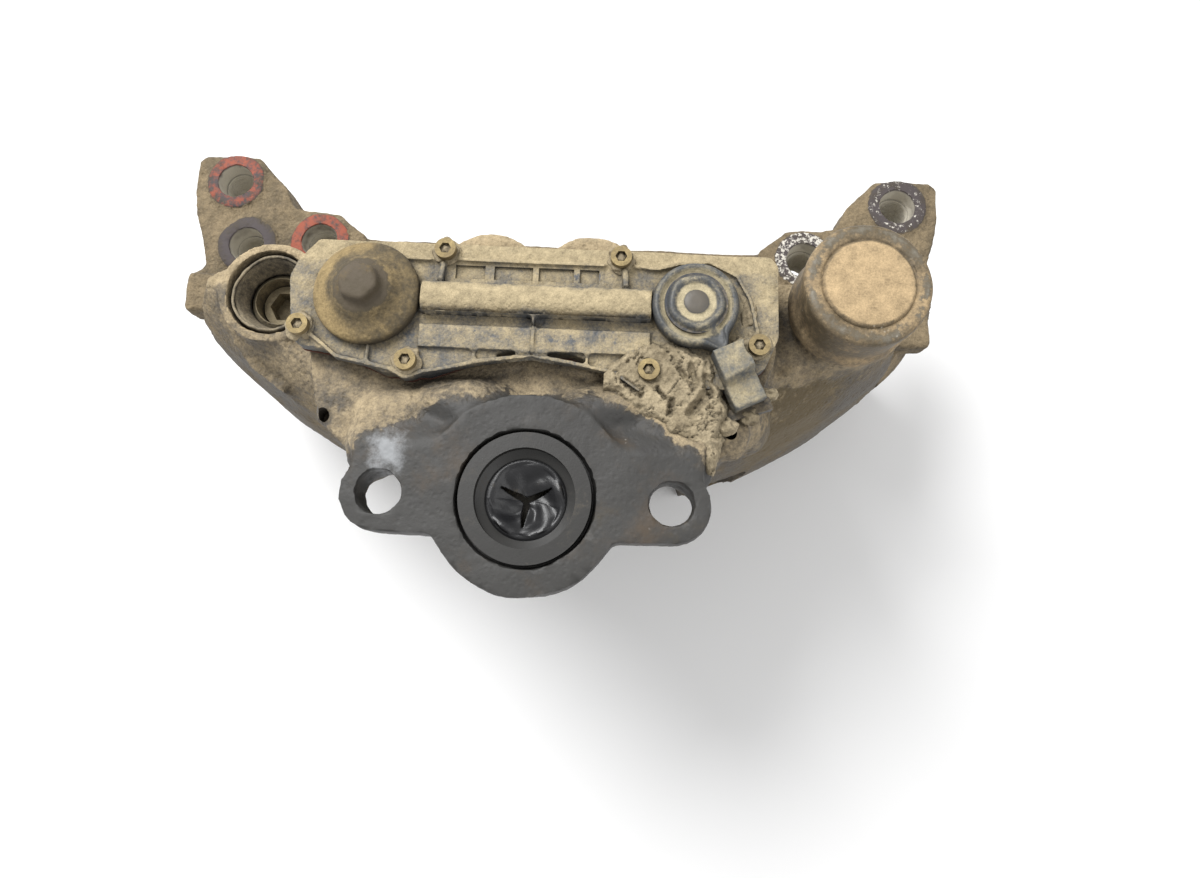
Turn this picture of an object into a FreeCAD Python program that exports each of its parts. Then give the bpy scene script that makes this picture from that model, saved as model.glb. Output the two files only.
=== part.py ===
import FreeCAD, Part
import math
import os
import re

import Sketcher
from FreeCAD import Placement, Rotation, Vector

# A floating air disc brake caliper for a heavy vehicle's 22.5-inch wheel, in millimetres.
# The origin is midway between the actuator's two stud holes, on the flange face.
# +X runs along the disc's tangent, +Y towards the wheel's axle, +Z inboard, along the axle.
# The caliper lies on its outboard face, so the floor is at floor_z.

SIZES = {
    # the wheel, the disc and the floor
    "axle_y": 262, "floor_z": -262, "disc_middle": -178, "disc_width": 45,
    "disc_gap": 6, "pad_gap": 0.5, "part_gap": 3, "slide_travel": 24,
    # the actuator flange
    "stud_spacing": 120.65, "stud_hole": 8.7, "ear_radius": 17, "flange_thickness": 18,
    "flange_radius": 41, "collar_radius": 44.5, "boot_bore": 28.3, "boot_depth": 6, "rod_bore": 21.5,
    # the mechanism casing
    "face_z": -14, "face_wall": 12, "casing_bottom": -112, "casing_left": -109, "casing_right": 106,
    "casing_top": 115, "bump_radius": 25, "bump_y": 98, "bump_spacing": 46,
    # the bridge over the disc, drawn about the axle
    "bridge_inner": 222, "bridge_outer": 254, "bridge_foot": 240, "bridge_start": 20.5, "bridge_end": 45.5,
    "window_half_width": 109, "wall_outer": 226, "nut_room": 15,
    "wall_thickness": 30.6, "wall_half_width": 104, "wall_top": 133,
    # the carrier
    "ear_face": -110, "ear_underside": -150, "carrier_top": -115, "horn_x": 108,
    "arm_start": 47.5, "arm_end": 60, "arm_inner": 221, "arm_outer": 256, "horn_outer": 218,
    "beam_bottom_y": 141, "beam_top_y": 166, "mount_hole": 8.2, "mount_recess": 9.7,
    "mount_ring": 17, "recess_depth": 11, "mount_a_x": 196, "mount_a_y": 195,
    "ear_step_y": 127, "mount_b_x": 184, "mount_b_y": 155, "mount_c_x": 141.5, "mount_c_y": 159,
    "outboard_face": -240,
    # the guide pins
    "guide_left_x": -130, "guide_right_x": 140, "guide_y": 96, "guide_left_top": -31,
    "guide_right_top": -20, "guide_boss": 25.2, "guide_bore": 20,
    "sleeve_left_top": -44, "sleeve_right_top": -33, "sleeve_radius": 14, "sleeve_hole": 8.4,
    "sleeve_recess": 11.6,
    "bolt_radius": 8, "bolt_head": 10.8, "bolt_head_length": 12,
    "cap_top": 8, "cap_wall": 2, "bush_wall": 4, "seat_radius": 18,
    # the two tappets, their threaded tubes and the bridge that pushes them
    "tappet_middle": -3, "tappet_spacing": 142, "tappet_y": 86, "tube_radius": 16, "tube_bore": 11,
    "tube_top": -40, "tappet_radius": 23, "tappet_thickness": 7, "tappet_clearance": 4.6,
    "traverse_top": -58, "traverse_depth": 26, "traverse_width": 36, "traverse_end": 22,
    "traverse_length": 184, "rib_height": 6, "rib_width": 14,
    "spring_inner": 8, "spring_outer": 14.5, "spring_seat": 6,
    # the lever and its bearing
    "pivot_z": -48, "cam_radius": 17.3, "cam_length": 60, "roller_radius": 9, "needle_radius": 1.3,
    "race_outer": 22, "race_wall": 1.8, "lever_width": 26, "cup_radius": 11, "cup_z": -20,
    # the chain drive and its cover
    "sprocket_radius": 9, "sprocket_thickness": 3, "chain_z": -16.5, "chain_pocket": 7,
    "chain_radius": 11.2, "link_pitch": 6.35, "cover_bottom": -13, "cover_top": -5, "cover_wall": 2.5,
    "gasket_thickness": 1, "band_top": 1, "shaft_radius": 10.4,
    "cover_bolt_head": 4.6, "cover_bolt_shank": 3, "cover_bolt_boss": 6.3,
    "cap_base": 23, "nub_radius": 6.5, "nub_top": 13, "sensor_cap_radius": 18, "sensor_cap_top": 7,
    # the closing plate and the bellows
    "plate_thickness": 4, "plate_top": -105,
    # the brake pads
    "lining_thickness": 21, "backing_thickness": 9, "pad_outer": 213, "pad_top": 138.5,
    "pad_half_width": 107.4, "lining_half_width": 99, "lining_outer": 210, "lining_top": 132,
    # the bar that holds the pads down
    "bar_width": 22, "bar_thickness": 4, "bar_y": 31, "spring_thickness": 1.5,
}

doc = FreeCAD.newDocument("brake_caliper")
sheet = doc.addObject("Spreadsheet::Sheet", "Sizes")
for row, (alias, size) in enumerate(SIZES.items(), start=1):
    sheet.set(f"A{row}", alias)
    sheet.set(f"B{row}", str(size))
    sheet.setAlias(f"B{row}", alias)
doc.recompute()

WORD = re.compile(r"[a-z_]+")
FULL_TURN = 360
nodes = []


def full(expression):
    """The expression with each size's name pointing at its cell in the sheet."""
    return WORD.sub(
        lambda word: "Sizes." + word.group() if word.group() in SIZES else word.group(),
        str(expression),
    )


def value(expression):
    """What the expression comes to now, in millimetres or degrees."""
    return float(sheet.evalExpression(full(expression)))


def bind(item, **sizes):
    for name, expression in sizes.items():
        item.setExpression(name, full(expression))
    return item


def put(item, x="0", y="0", z="0"):
    """Ties the item's place to expressions of the sheet's sizes."""
    for axis, expression in (("x", x), ("y", y), ("z", z)):
        item.setExpression("Placement.Base." + axis, full(expression))
    return item


def rod(name, radius, bottom, top, x="0", y="0"):
    """A cylinder along Z from bottom to top."""
    item = doc.addObject("Part::Cylinder", name)
    bind(item, Radius=radius, Height=f"({top}) - ({bottom})")
    return put(item, x, y, bottom)


def cross_rod(name, radius, left, right, y, z):
    """A cylinder along X from left to right."""
    item = doc.addObject("Part::Cylinder", name)
    bind(item, Radius=radius, Height=f"({right}) - ({left})")
    item.Placement = Placement(Vector(), Rotation(Vector(0, 1, 0), 90))
    return put(item, left, y, z)


def block(name, x, y, z):
    """A box between two expressions on each axis."""
    item = doc.addObject("Part::Box", name)
    bind(item, Length=f"({x[1]}) - ({x[0]})", Width=f"({y[1]}) - ({y[0]})", Height=f"({z[1]}) - ({z[0]})")
    return put(item, x[0], y[0], z[0])


def fuse(name, *items):
    joined = doc.addObject("Part::MultiFuse", name)
    joined.Shapes = list(items)
    joined.Refine = True
    return joined


def cut(name, base, *tools):
    """The base less every tool."""
    if len(tools) > 1:
        tool = fuse(name + "_tools", *tools)
    else:
        tool = tools[0]
    result = doc.addObject("Part::Cut", name)
    result.Base = base
    result.Tool = tool
    result.Refine = True
    return result


def common(name, *items):
    shared = doc.addObject("Part::MultiCommon", name)
    shared.Shapes = list(items)
    return shared


def plane(body, role):
    return next(face for face in body.Origin.OriginFeatures if face.Role == role)


def outline(body, role, points, height="0"):
    """A closed sketch of straight runs, each corner held to the sheet's sizes."""
    sketch = body.newObject("Sketcher::SketchObject", body.Name + "_outline")
    sketch.AttachmentSupport = [(plane(body, role), "")]
    sketch.MapMode = "FlatFace"
    sketch.setExpression("AttachmentOffset.Base.z", full(height))
    spots = [Vector(value(u), value(v), 0) for u, v in points]
    sketch.addGeometry([Part.LineSegment(a, b) for a, b in zip(spots, spots[1:] + spots[:1])], False)
    for index, (u, v) in enumerate(points):
        following = (index + 1) % len(points)
        sketch.addConstraint(Sketcher.Constraint("Coincident", index, 2, following, 1))
        for kind, expression in (("DistanceX", u), ("DistanceY", v)):
            number = sketch.addConstraint(Sketcher.Constraint(kind, -1, 1, index, 1, value(expression)))
            sketch.setExpression(f"Constraints[{number}]", full(expression))
    return sketch


def plate(name, points, bottom, top, corner=None, role="XY_Plane"):
    """A flat-sided solid with the given outline, its upright corners rounded where a radius is given."""
    body = doc.addObject("PartDesign::Body", name)
    sketch = outline(body, role, points, bottom)
    pad = body.newObject("PartDesign::Pad", name + "_pad")
    pad.Profile = sketch
    bind(pad, Length=f"({top}) - ({bottom})")
    if corner is not None:
        doc.recompute()
        upright = [
            f"Edge{number}"
            for number, edge in enumerate(pad.Shape.Edges, start=1)
            if abs(edge.tangentAt(edge.FirstParameter).z) > 0.99
        ]
        rounding = body.newObject("PartDesign::Fillet", name + "_corners")
        rounding.Base = (pad, upright)
        bind(rounding, Radius=corner)
    return body


def turned(name, points, x="0", y="0", z="0"):
    """A turned piece about an upright axis; points are (radius, height)."""
    body = doc.addObject("PartDesign::Body", name)
    sketch = outline(body, "XZ_Plane", points)
    turn = body.newObject("PartDesign::Revolution", name + "_turn")
    turn.Profile = sketch
    turn.ReferenceAxis = (sketch, ["V_Axis"])
    turn.Angle = FULL_TURN
    return put(body, x, y, z)


def sector(name, points, start, end):
    """A ring about the axle between two angles from straight down; points are (radius, height)."""
    body = doc.addObject("PartDesign::Body", name)
    sketch = outline(body, "XZ_Plane", points)
    turn = body.newObject("PartDesign::Revolution", name + "_turn")
    turn.Profile = sketch
    turn.ReferenceAxis = (sketch, ["V_Axis"])
    turn.Midplane = True
    bind(turn, Angle=f"({end}) - ({start})")
    middle = (value(start) + value(end)) / 2
    body.Placement = Placement(Vector(), Rotation(Vector(0, 0, 1), middle - 90))
    return put(body, "0", "axle_y", "0")


def ring_slab(inner, outer, bottom, top):
    return [(inner, bottom), (outer, bottom), (outer, top), (inner, top)]


def mirrored(points):
    return [(f"-({x})", y) for x, y in points]


def node(item, name=None):
    """Marks a finished piece, whose label names its file."""
    item.Label = name or item.Name
    nodes.append(item)
    return item


def from_shape(name, shapes):
    """A piece made of many small repeated solids."""
    item = doc.addObject("Part::Feature", name)
    item.Shape = Part.makeCompound(shapes)
    item.Placement = Placement()
    return node(item)


LEFT_TUBE_X = "tappet_middle - tappet_spacing / 2"
RIGHT_TUBE_X = "tappet_middle + tappet_spacing / 2"
LINING_FACE_IN = "disc_middle + disc_width / 2 + pad_gap"
LINING_FACE_OUT = "disc_middle - disc_width / 2 - pad_gap"
BACKING_TOP = f"({LINING_FACE_IN}) + lining_thickness + backing_thickness"
WALL_FACE = "floor_z + wall_thickness"
TAPPET_FACE = f"({BACKING_TOP}) + tappet_clearance"
SIDES = (("left", LEFT_TUBE_X, "guide_left_x"), ("right", RIGHT_TUBE_X, "guide_right_x"))
STUD_X = "stud_spacing / 2"


# ---------------------------------------------------------------- carrier
def make_carrier():
    """The bracket that bolts to the axle: two ears, two arms over the disc and two beams."""
    ear = [
        ("horn_x", "ear_step_y"), ("mount_a_x + 10", "ear_step_y"), ("mount_a_x + 13", "mount_a_y - 50"),
        ("mount_a_x + 21.5", "mount_a_y - 23"), ("mount_a_x + 25.5", "mount_a_y - 6"),
        ("mount_a_x + 24.5", "mount_a_y + 13"), ("mount_a_x + 20", "mount_a_y + 17"),
        ("mount_a_x - 13", "mount_a_y + 17"), ("mount_a_x - 30", "mount_a_y - 1"),
        ("mount_a_x - 36", "mount_a_y - 14"),
        ("mount_c_x + 8", "mount_c_y + 20"), ("mount_c_x - 10", "mount_c_y + 19"),
        ("mount_c_x - 26", "mount_c_y + 6"), ("horn_x", "beam_bottom_y"),
    ]
    under = [
        ("horn_x", "70"), ("150", "84"), ("175", "116"), ("198", "ear_step_y + 1"),
        ("horn_x", "ear_step_y + 1"),
    ]
    horn = [
        ("horn_x", "82"), ("140", "96"), ("170", "116"), ("200", "130"), ("202", "158"),
        ("150", "beam_top_y"), ("horn_x", "beam_top_y"),
    ]
    pieces = []
    holes = []
    disc_bottom = "disc_middle - disc_width / 2 - disc_gap + 1"
    for side, _, pin_x in SIDES:
        flip = mirrored if side == "left" else list
        sign = "-" if side == "left" else ""
        inside = "horn_outer"
        pieces.append(plate(f"ear_{side}", flip(ear), "ear_underside", "ear_face - 2", "2"))
        horn_plate = plate(f"horn_in_{side}", flip(under), "ear_underside", "carrier_top")
        limit = rod(f"ear_limit_{side}", inside, "ear_underside - 1", "carrier_top + 1", "0", "axle_y")
        pieces.append(common(f"horn_in_trimmed_{side}", horn_plate, limit))
        outboard = plate(f"horn_{side}", flip(horn), "outboard_face", disc_bottom, "2")
        reach = rod(f"horn_limit_{side}", inside, "outboard_face - 1", f"{disc_bottom} + 1", "0", "axle_y")
        pieces.append(common(f"horn_inner_{side}", outboard, reach))
        angles = ("arm_start", "arm_end") if side == "right" else ("-arm_end", "-arm_start")
        over = [
            ("arm_inner", "floor_z"), ("arm_outer - 6", "floor_z"), ("arm_outer", "disc_middle"),
            ("arm_outer", "ear_underside + 20"), ("arm_outer - 6", "ear_face - 3"),
            ("arm_inner", "ear_face - 3"),
        ]
        pieces.append(sector(f"arm_{side}", over, *angles))
        root = ring_slab("horn_outer - 22", "arm_outer - 9", "ear_underside", "carrier_top")
        pieces.append(sector(f"arm_root_{side}", root, *angles))
        foot = ring_slab("horn_outer - 22", "arm_outer - 9", "outboard_face", disc_bottom)
        pieces.append(sector(f"arm_foot_{side}", foot, *angles))
        pieces.append(rod(f"pin_seat_{side}", "seat_radius", "ear_underside", "carrier_top", pin_x,
                          "guide_y"))
        holes.append(rod(f"pin_thread_{side}", "bolt_radius", "ear_underside - 1", "carrier_top + 1",
                         pin_x, "guide_y"))
        for letter in "abc":
            x = f"{sign}mount_{letter}_x"
            y = f"mount_{letter}_y"
            tag = f"{letter}_{side}"
            pieces.append(rod(f"mount_ring_{tag}", "mount_ring", "ear_underside", "ear_face", x, y))
            holes.append(rod(f"mount_thread_{tag}", "mount_hole", "ear_underside - 1", "ear_face + 1",
                             x, y))
            holes.append(rod(f"mount_recess_{tag}", "mount_recess", "ear_face - recess_depth",
                             "ear_face + 1", x, y))
    beam_x = ("-horn_x - 6", "horn_x + 6")
    beam_y = ("beam_bottom_y", "beam_top_y")
    pieces.append(block("beam_in", beam_x, beam_y, ("ear_underside", "carrier_top - 5")))
    pieces.append(block("beam_out", beam_x, beam_y, ("outboard_face", disc_bottom)))
    return node(cut("carrier", fuse("carrier_casting", *pieces), *holes))


# ---------------------------------------------------------------- caliper housing
def make_housing():
    """The floating casting: mechanism casing, actuator flange, guide bosses, bridge and outboard wall."""
    casing = [
        ("casing_left + 6", "casing_top - 1"), ("casing_left", "casing_top - 12"), ("casing_left", "88"),
        ("casing_left + 7", "62"), ("-97", "40"), ("-90", "27"), ("-80", "19"), ("80", "19"),
        ("88", "27"), ("99", "50"), ("casing_right", "68"), ("casing_right", "casing_top - 9"),
        ("casing_right - 5", "casing_top - 2"), ("30", "casing_top"), ("-30", "casing_top"),
    ]
    root = [("-44", "24"), ("-36", "-14"), ("36", "-14"), ("44", "24")]
    slope = [("8", "-flange_thickness"), ("8", "-0.3"), ("22", "-0.3"), ("50", "face_z - 0.1"),
             ("50", "-40"), ("19", "-40")]
    solids = [
        plate("casing", casing, "casing_bottom", "face_z", "4"),
        plate("flange_root", root, "-60", "-flange_thickness + 1"),
        plate("flange_slope", slope, "-74", "74", role="YZ_Plane"),
        common("collar", rod("collar_round", "collar_radius", "-60", "0"),
               block("collar_half", ("-60", "60"), ("0", "60"), ("-60", "0"))),
        rod("flange_lobe", "flange_radius", "-flange_thickness", "0"),
        rod("neck", "flange_radius - 5", "-95", "-flange_thickness + 1"),
        block("pin_lugs", ("-bar_width / 2 - 14", "bar_width / 2 + 14"), ("bar_y - 14", "bar_y + 14"),
              ("casing_bottom", "-93")),
        block("flange_web", (f"-({STUD_X})", STUD_X), ("-ear_radius", "ear_radius + 3"),
              ("-flange_thickness", "0")),
    ]
    for side, sign in (("left", "-"), ("right", "")):
        x = f"{sign}({STUD_X})"
        solids.append(rod(f"flange_ear_{side}", "ear_radius", "-flange_thickness", "0", x, "0"))
        bump_x = f"tappet_middle + 2 {'-' if sign else '+'} bump_spacing / 2"
        solids.append(rod(f"bump_{side}", "bump_radius", "casing_bottom + 20", "face_z", bump_x, "bump_y"))
        tops = {"left": "guide_left_top", "right": "guide_right_top"}
        pin_x = f"guide_{side}_x"
        boss = rod(f"guide_boss_{side}", "guide_boss", "casing_bottom", tops[side], pin_x, "guide_y")
        inner = f"{sign}90"
        web = [(inner, "guide_y - 22"), (pin_x, "guide_y - guide_boss"),
               (pin_x, "guide_y + guide_boss - 8"), (inner, "guide_y + 14")]
        solids += [boss, plate(f"guide_web_{side}", web, "casing_bottom", f"{tops[side]} - 12")]
        angles = ("bridge_start", "bridge_end") if side == "right" else ("-bridge_end", "-bridge_start")
        over = [
            ("bridge_inner", "floor_z"), ("bridge_foot", "floor_z"), ("bridge_outer - 3", "disc_middle"),
            ("bridge_outer", "ear_underside + 20"), ("bridge_outer", "casing_bottom - 3"),
            ("bridge_outer - 3", "-80"), ("bridge_outer - 8", "-60"), ("bridge_inner + 17", "-46"),
            ("bridge_inner + 5", "-32"), ("bridge_inner - 20", "-42"),
            ("bridge_inner - 20", "casing_bottom"),
            ("bridge_inner", "casing_bottom"),
        ]
        solids.append(sector(f"bridge_arm_{side}", over, *angles))
    apron = [
        ("bridge_inner - 20", "casing_bottom"), ("bridge_inner - 20", "-30"), ("bridge_inner + 17", "-40"),
        ("bridge_outer - 8", "-56"), ("bridge_inner + 13", "casing_bottom"),
    ]
    solids.append(sector("apron", apron, "-bridge_start - 0.5", "bridge_start + 0.5"))
    wall_box = block(
        "wall_box", ("-wall_half_width", "wall_half_width"), ("0", "wall_top"), ("floor_z", WALL_FACE)
    )
    wall_disc = rod("wall_disc", "wall_outer", "floor_z", WALL_FACE, "0", "axle_y")
    solids.append(common("outboard_wall", wall_box, wall_disc))
    rim = ring_slab("bridge_inner - 1", "wall_outer", "floor_z", WALL_FACE)
    solids.append(sector("outboard_rim", rim, "-bridge_end", "bridge_end"))

    ceiling = "face_z - face_wall"
    cavity_x = ("tappet_middle - traverse_length / 2 - 4.5", "tappet_middle + traverse_length / 2 + 4.5")
    reach = "traverse_end + 2.5"
    saddle_x = ("tappet_middle - cam_length / 2 - 3", "tappet_middle + cam_length / 2 + 3")
    cavity = block("cavity", cavity_x, (f"tappet_y - ({reach})", f"tappet_y + {reach}"),
                   ("casing_bottom - 1", ceiling))
    saddle = block("saddle", saddle_x, ("tappet_y - race_outer - 4", "tappet_y + race_outer + 6"),
                   ("pivot_z", ceiling))
    arm_slot = ("tappet_middle - lever_width / 2 - 4", "-tappet_middle + lever_width / 2 + 4")
    chamber = block("lever_chamber", arm_slot, ("-26", "tappet_y - 16"), ("-92", "-17"))
    race_seat = cross_rod(
        "race_seat", "race_outer + 0.05", saddle_x[0] + " - 1", saddle_x[1] + " + 1", "tappet_y", "pivot_z"
    )
    tools = [
        cut("cavity_with_saddle", cavity, saddle),
        chamber,
        race_seat,
        rod("boot_seat", "boot_bore", "-boot_depth", "1"),
        rod("rod_hole", "rod_bore", "-30", "1"),
        block("chain_slot", (LEFT_TUBE_X, RIGHT_TUBE_X), ("tappet_y - 15", "tappet_y + 15"),
              ("face_z - chain_pocket", "face_z + 1")),
        rod("sensor_thread_left", "2.8", "face_z - 12", "1", "-91", "33"),
        rod("sensor_thread_right", "2.6", "face_z - 12", "1", "85", "32"),
        block("pad_window", ("-window_half_width", "window_half_width"), ("-10", "60"),
              (WALL_FACE, "casing_bottom")),
        block("bar_notch", ("-bar_width / 2 - 2", "bar_width / 2 + 2"),
              ("-10", "bar_y + bar_thickness + 0.1"),
              ("casing_bottom - 1", "-96")),
        block("bar_slot", ("-bar_width / 2 - 2", "bar_width / 2 + 2"),
              ("bar_y - 3", "bar_y + bar_thickness + 0.1"),
              (f"{WALL_FACE} - 16", f"{WALL_FACE} + 1")),
        cross_rod("pin_hole", "4.1", "-34", "34", "bar_y - 5", "-104"),
        cross_rod("pin_head_room", "7", "bar_width / 2 + 14", "bar_width / 2 + 30", "bar_y - 5", "-104"),
    ]
    for side, tube_x, pin_x in SIDES:
        stud_x = f"{'-' if side == 'left' else ''}({STUD_X})"
        tools.append(rod(f"stud_hole_{side}", "stud_hole", "-flange_thickness - 1", "1", stud_x, "0"))
        tools.append(rod(f"nut_room_{side}", "nut_room", "-64", "-flange_thickness", stud_x, "0"))
        sight_x = f"{stud_x} {'-' if side == 'left' else '+'} 5"
        tools.append(rod(f"wrench_room_{side}", "nut_room + 2", "casing_bottom - 30", "-62", sight_x, "8"))
        tools.append(rod(f"chain_end_{side}", "15", "face_z - chain_pocket", "face_z + 1", tube_x,
                         "tappet_y"))
        tools.append(rod(f"shaft_hole_{side}", "shaft_radius + 0.05", f"{ceiling} - 1", "face_z + 1",
                         tube_x, "tappet_y"))
        tools.append(rod(f"guide_bore_{side}", "guide_bore", f"sleeve_{side}_top - 8", "1", pin_x,
                         "guide_y"))
        tools.append(rod(f"bush_bore_{side}", "sleeve_radius + bush_wall", "casing_bottom - 1", "0",
                         pin_x, "guide_y"))
        # room for the carrier's pin seat to stay clear of the bridge arm over the whole slide
        tools.append(rod(f"seat_room_{side}", "seat_radius + part_gap",
                         "ear_underside - slide_travel - part_gap",
                         "casing_bottom", pin_x, "guide_y"))
        tools.append(block(f"seat_mouth_{side}", (f"{pin_x} - seat_radius - part_gap",
                                                  f"{pin_x} + seat_radius + part_gap"),
                           ("guide_y", "guide_y + 60"), ("ear_underside - slide_travel - part_gap",
                                                         "casing_bottom")))
    for number, (x, y) in enumerate(COVER_BOLTS):
        tools.append(rod(f"cover_thread_{number}", "cover_bolt_shank - 0.4", "face_z - 14",
                         "face_z + 1", x, y))
    for number, (x, y) in enumerate(PLATE_SCREWS):
        tools.append(rod(f"plate_thread_{number}", "2.6", "casing_bottom - 1", "casing_bottom + 14", x, y))
    plate_pocket = plate("plate_pocket", CLOSING_PLATE, "casing_bottom - 1", "plate_top", "7")
    tools.append(plate_pocket)
    return node(cut("caliper_housing", fuse("housing_casting", *solids), *tools))


COVER_BOLTS = [
    ("-101.8", "70.2"), ("-41.3", "107.2"), ("-54.3", "56.4"),
    ("35.3", "106.6"), ("48.9", "56.5"), ("95.3", "69.2"),
]
CLOSING_PLATE = [
    ("tappet_middle - tappet_spacing / 2 - 31", "tappet_y - 33"),
    ("tappet_middle + tappet_spacing / 2 + 31", "tappet_y - 33"),
    ("tappet_middle + tappet_spacing / 2 + 31", "tappet_y + 27"),
    ("tappet_middle - tappet_spacing / 2 - 31", "tappet_y + 27"),
]
PLATE_SCREWS = [
    ("tappet_middle - tappet_spacing / 2 - 5", "tappet_y - 27.2"),
    ("tappet_middle - 32", "tappet_y - 27.2"),
    ("tappet_middle + 32", "tappet_y - 27.2"), ("tappet_middle + tappet_spacing / 2 + 5",
                                                "tappet_y - 27.2"),
]


# ---------------------------------------------------------------- guide pins
def make_guides():
    """On each side a sleeve and its bolt on the carrier, a bush in the housing and a bellows between."""
    for side, _, pin_x in SIDES:
        top = f"sleeve_{side}_top"
        sleeve = turned(
            f"guide_sleeve_{side}",
            [("sleeve_hole", "carrier_top"), ("sleeve_radius", "carrier_top"),
             ("sleeve_radius", f"{top} - 2"),
             ("sleeve_radius - 2", top), ("sleeve_recess", top),
             ("sleeve_recess", f"{top} - bolt_head_length - 8"),
             ("sleeve_hole", f"{top} - bolt_head_length - 8")],
            pin_x, "guide_y",
        )
        node(sleeve)
        head_top = f"{top} - 8"
        head = rod(f"guide_bolt_head_{side}", "bolt_head", f"{head_top} - bolt_head_length", head_top,
                   pin_x, "guide_y")
        shank = rod(f"guide_bolt_shank_{side}", "bolt_radius - 0.1", "ear_underside + 3",
                    f"{head_top} - 6", pin_x, "guide_y")
        socket = doc.addObject("Part::Prism", f"guide_bolt_socket_{side}")
        socket.Polygon = 6
        bind(socket, Circumradius="8", Height="9")
        put(socket, pin_x, "guide_y", f"{head_top} - 8")
        node(cut(f"guide_bolt_{side}", fuse(f"guide_bolt_blank_{side}", head, shank), socket))
        bush = turned(
            f"guide_bush_{side}",
            [("sleeve_radius + 0.05", "casing_bottom + 10"),
             ("sleeve_radius + bush_wall", "casing_bottom + 10"),
             ("sleeve_radius + bush_wall", f"{top} - 9"), ("sleeve_radius + 0.05", f"{top} - 9")],
            pin_x, "guide_y",
        )
        node(bush)
        folds = [("sleeve_radius + 0.4", "carrier_top + 0.1")]
        folds += [("sleeve_radius + 3.8", "carrier_top + 0.1"), ("sleeve_radius + 2", "carrier_top + 3"),
                  ("sleeve_radius + 3.6", "carrier_top + 6"), ("sleeve_radius + 2", "carrier_top + 9"),
                  ("sleeve_radius + 3.6", "casing_bottom + 9.5"),
                  ("sleeve_radius + 0.4", "casing_bottom + 9.5")]
        node(turned(f"guide_boot_{side}", folds, pin_x, "guide_y"))
    cap = [
        ("0", "cap_top - cap_wall"), ("0", "cap_top"), ("guide_boss * 0.75", "cap_top"),
        ("guide_boss * 0.8", "cap_top - 0.8"), ("guide_boss - 1", "cap_top - 1"),
        ("guide_boss + 0.6", "cap_top - 3"),
        ("guide_boss + 0.6", "guide_right_top + 5"), ("guide_boss + 2.6", "guide_right_top + 2"),
        ("guide_boss + 2.6", "guide_right_top - 4"), ("guide_boss + 0.3", "guide_right_top - 4"),
        ("guide_boss + 0.3", "guide_right_top + 0.3"), ("guide_boss - cap_wall", "guide_right_top + 0.3"),
        ("guide_boss - cap_wall", "cap_top - cap_wall"),
    ]
    node(turned("guide_cap_right", cap, "guide_right_x", "guide_y"))
    remnant = [
        ("guide_bore - 0.3", "guide_left_top - 5"), ("guide_bore - 1.6", "guide_left_top - 5"),
        ("guide_bore - 1.6", "guide_left_top + 0.6"), ("guide_bore + 0.7", "guide_left_top + 0.6"),
        ("guide_bore + 0.7", "guide_left_top + 0.1"), ("guide_bore - 0.3", "guide_left_top + 0.1"),
    ]
    node(turned("guide_seal_left", remnant, "guide_left_x", "guide_y"))


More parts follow.
